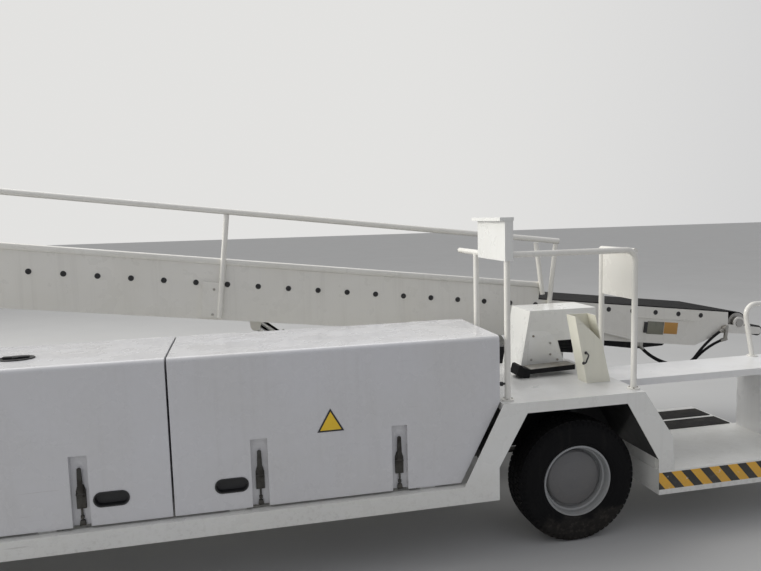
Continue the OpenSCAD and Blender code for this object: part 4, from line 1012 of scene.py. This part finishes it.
def place_camera():
    data = bpy.data.cameras.new("camera")
    data.sensor_width = SENSOR
    data.lens = SENSOR * CAMERA_PIXELS / PICTURE_WIDTH
    data.clip_start, data.clip_end = 0.05, 200.0
    cy, sy = math.cos(CAMERA_YAW), math.sin(CAMERA_YAW)
    cp, sp = math.cos(CAMERA_PITCH), math.sin(CAMERA_PITCH)
    ahead = Vector((sy * cp, cy * cp, -sp))
    level = Vector((cy, -sy, 0.0))
    over = level.cross(ahead)
    cr, sr = math.cos(CAMERA_ROLL), math.sin(CAMERA_ROLL)
    right = level * cr + over * sr
    up = over * cr - level * sr
    matrix = Matrix((right, up, -ahead)).transposed().to_4x4()
    matrix.translation = Vector(CAMERA_AT)
    camera = bpy.data.objects.new("camera", data)
    camera.matrix_world = matrix
    bpy.context.scene.collection.objects.link(camera)
    bpy.context.scene.camera = camera


def area_light(name, at, towards, size, power, colour=(1.0, 1.0, 1.0)):
    data = bpy.data.lights.new(name, "AREA")
    data.shape, data.size, data.size_y = "RECTANGLE", size[0], size[1]
    data.energy, data.color = power, colour
    light = bpy.data.objects.new(name, data)
    light.location = at
    light.rotation_mode = "QUATERNION"
    light.rotation_quaternion = (Vector(towards) - Vector(at)).to_track_quat("-Z", "Y")
    bpy.context.scene.collection.objects.link(light)


def build_stage(sizes):
    bpy.ops.object.select_all(action="DESELECT")
    bpy.ops.mesh.primitive_plane_add(size=FLOOR_SIZE, location=(0.0, 0.0, 0.0))
    floor = bpy.context.object
    floor.name = "floor"
    s, shader = new_finish("floor_finish", Specular_IOR_Level=0.2)
    place = s.place()
    tone = s.mix(s.noise(place, 0.8, 4.0), rgba((0.47, 0.47, 0.465)), rgba((0.52, 0.52, 0.515)))
    s.set(shader, "Base Color", tone)
    s.set(shader, "Roughness", s.ramp(s.noise(place, 3.0, 3.0), 0.3, 0.7, 0.80, 0.92))
    dress(floor, "floor_finish")
    world = bpy.data.worlds.new("studio")
    bpy.context.scene.world = world
    world.use_nodes = True
    sky = Sketch(world.node_tree)
    background = world.node_tree.nodes["Background"]
    side = sky.add("ShaderNodeVectorMath", operation="DOT_PRODUCT")
    sky.set(side, 0, sky.add("ShaderNodeTexCoord").outputs["Generated"])
    sky.set(side, 1, BRIGHT_SIDE)
    glow = sky.ramp(side.outputs["Value"], -0.6, 0.7)
    sky.set(background, "Color", sky.mix(glow, rgba(SKY_DULL), rgba(SKY_BRIGHT)))
    background.inputs[1].default_value = sizes.sky_strength
    area_light("key", (-9.0, 1.5, 5.5), (0.3, -0.3, 0.8), (5.0, 5.0), sizes.key_power, (1.0, 0.985, 0.94))
    area_light("overhead", (0.0, 3.0, 8.0), (0.0, 0.0, 0.5), (9.0, 6.0), sizes.key_power * 0.30)
    place_camera()
    bpy.context.scene.view_settings.view_transform = "Standard"


# Properties and steps


class LoaderSizes(bpy.types.PropertyGroup):
    """Sizes and colours of the dressing."""

    body_colour: FloatVectorProperty(
        name="Body colour", description="Paint of the chassis and its covers", subtype="COLOR", size=3,
        default=(0.80, 0.80, 0.775), min=0.0, max=1.0)
    # The covers' colour is the body's white darkened and blued: painted shade and painted sky light
    cover_shaded_colour: FloatVectorProperty(
        name="Cover colour", description="Paint of the hinged side covers", subtype="COLOR", size=3,
        default=(0.66, 0.66, 0.68), min=0.0, max=1.0)
    boom_colour: FloatVectorProperty(
        name="Boom colour", description="Paint of the boom and its rails", subtype="COLOR", size=3,
        default=(0.79, 0.775, 0.73), min=0.0, max=1.0)
    sky_strength: FloatProperty(
        name="Sky strength", description="Brightness of the soft surrounding light", default=0.85,
        min=0.0, max=3.0)
    key_power: FloatProperty(
        name="Key light", description="Power of the large light ahead of the loader", default=800.0,
        min=0.0, unit="POWER")
    tread_depth: FloatProperty(
        name="Tread depth", description="Height of the tyres' blocks over their grooves", default=0.0074,
        min=0.001, max=0.008, unit="LENGTH")
    cap_radius: FloatProperty(
        name="Cap radius", description="Radius of the plugs over the boom's idler holes", default=0.0175,
        min=0.0165, max=0.022, unit="LENGTH")
    hose_radius: FloatProperty(
        name="Hose radius", description="Outer radius of the hydraulic hoses", default=0.010,
        min=0.006, max=0.011, unit="LENGTH")


class LOADER_OT_stage(bpy.types.Operator):
    """Make the floor, the soft light and the camera"""

    bl_idname = "loader.stage"
    bl_label = "Stage"

    def execute(self, context):
        build_stage(context.scene.loader_sizes)
        return {"FINISHED"}


class LOADER_OT_finishes(bpy.types.Operator):
    """Give every part of the frame its finish"""

    bl_idname = "loader.finishes"
    bl_label = "Finishes"

    def execute(self, context):
        make_finishes(context.scene.loader_sizes)
        for finish, names in NODE_FINISH.items():
            for name in names:
                dress(NODES[name], finish)
        return {"FINISHED"}


class LOADER_OT_tyres(bpy.types.Operator):
    """Model one treaded tyre and put a copy of it on each wheel"""

    bl_idname = "loader.tyres"
    bl_label = "Tyres"

    def execute(self, context):
        first = model_tyre(context.scene.loader_sizes.tread_depth)
        for corner, (x, y) in CORNERS.items():
            tyre = copied(first, (x, y, WHEEL_Z))
            tyre.name = tyre.data.name = f"{corner}_road_tyre"
            fit(tyre, f"{corner}_roller", "tyre_shaded_rubber")
            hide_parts(f"{corner}_tyre")
        take(first)
        bpy.ops.object.delete()
        return {"FINISHED"}


class LOADER_OT_boom_fittings(bpy.types.Operator):
    """Add the idler caps, blank plates, trim, bolts and pivot caps of the boom"""

    bl_idname = "loader.boom_fittings"
    bl_label = "Boom fittings"

    def execute(self, context):
        make_boom_fittings(context.scene.loader_sizes)
        return {"FINISHED"}


class LOADER_OT_hoses(bpy.types.Operator):
    """Lay the two hydraulic hoses between their fittings under the boom"""

    bl_idname = "loader.hoses"
    bl_label = "Hoses"

    def execute(self, context):
        make_hoses(context.scene.loader_sizes)
        return {"FINISHED"}


class LOADER_OT_cover_fittings(bpy.types.Operator):
    """Add the latches, hand cups, blank triangular plate and lifting handle of the side covers"""

    bl_idname = "loader.cover_fittings"
    bl_label = "Cover fittings"

    def execute(self, context):
        make_cover_fittings()
        return {"FINISHED"}


class LOADER_OT_station_fittings(bpy.types.Operator):
    """Add the console's panel, the column's handle, the post's knob and the platform's bolts"""

    bl_idname = "loader.station_fittings"
    bl_label = "Operator station fittings"

    def execute(self, context):
        make_station_fittings()
        return {"FINISHED"}


class LOADER_OT_body_fittings(bpy.types.Operator):
    """Add the paddle latches of the right-hand lockers"""

    bl_idname = "loader.body_fittings"
    bl_label = "Body fittings"

    def execute(self, context):
        make_body_fittings()
        return {"FINISHED"}


class LOADER_PT_panel(bpy.types.Panel):
    """Lists the steps of the dressing"""

    bl_label = "Belt loader"
    bl_idname = "LOADER_PT_panel"
    bl_space_type = "VIEW_3D"
    bl_region_type = "UI"
    bl_category = "Belt loader"

    def draw(self, context):
        for name in LoaderSizes.__annotations__:
            self.layout.prop(context.scene.loader_sizes, name)
        for step in STEPS:
            self.layout.operator(step.bl_idname)


STEPS = (
    LOADER_OT_finishes, LOADER_OT_tyres, LOADER_OT_boom_fittings, LOADER_OT_hoses, LOADER_OT_cover_fittings,
    LOADER_OT_station_fittings, LOADER_OT_body_fittings, LOADER_OT_stage)
CLASSES = (LoaderSizes, *STEPS, LOADER_PT_panel)


def register():
    for cls in CLASSES:
        bpy.utils.register_class(cls)
    bpy.types.Scene.loader_sizes = PointerProperty(type=LoaderSizes)


def unregister():
    del bpy.types.Scene.loader_sizes
    for cls in reversed(CLASSES):
        bpy.utils.unregister_class(cls)


def main():
    register()
    bpy.ops.loader.finishes()
    bpy.ops.loader.tyres()
    bpy.ops.loader.boom_fittings()
    bpy.ops.loader.hoses()
    bpy.ops.loader.cover_fittings()
    bpy.ops.loader.station_fittings()
    bpy.ops.loader.body_fittings()
    bpy.ops.loader.stage()


if __name__ == "__main__":
    main()
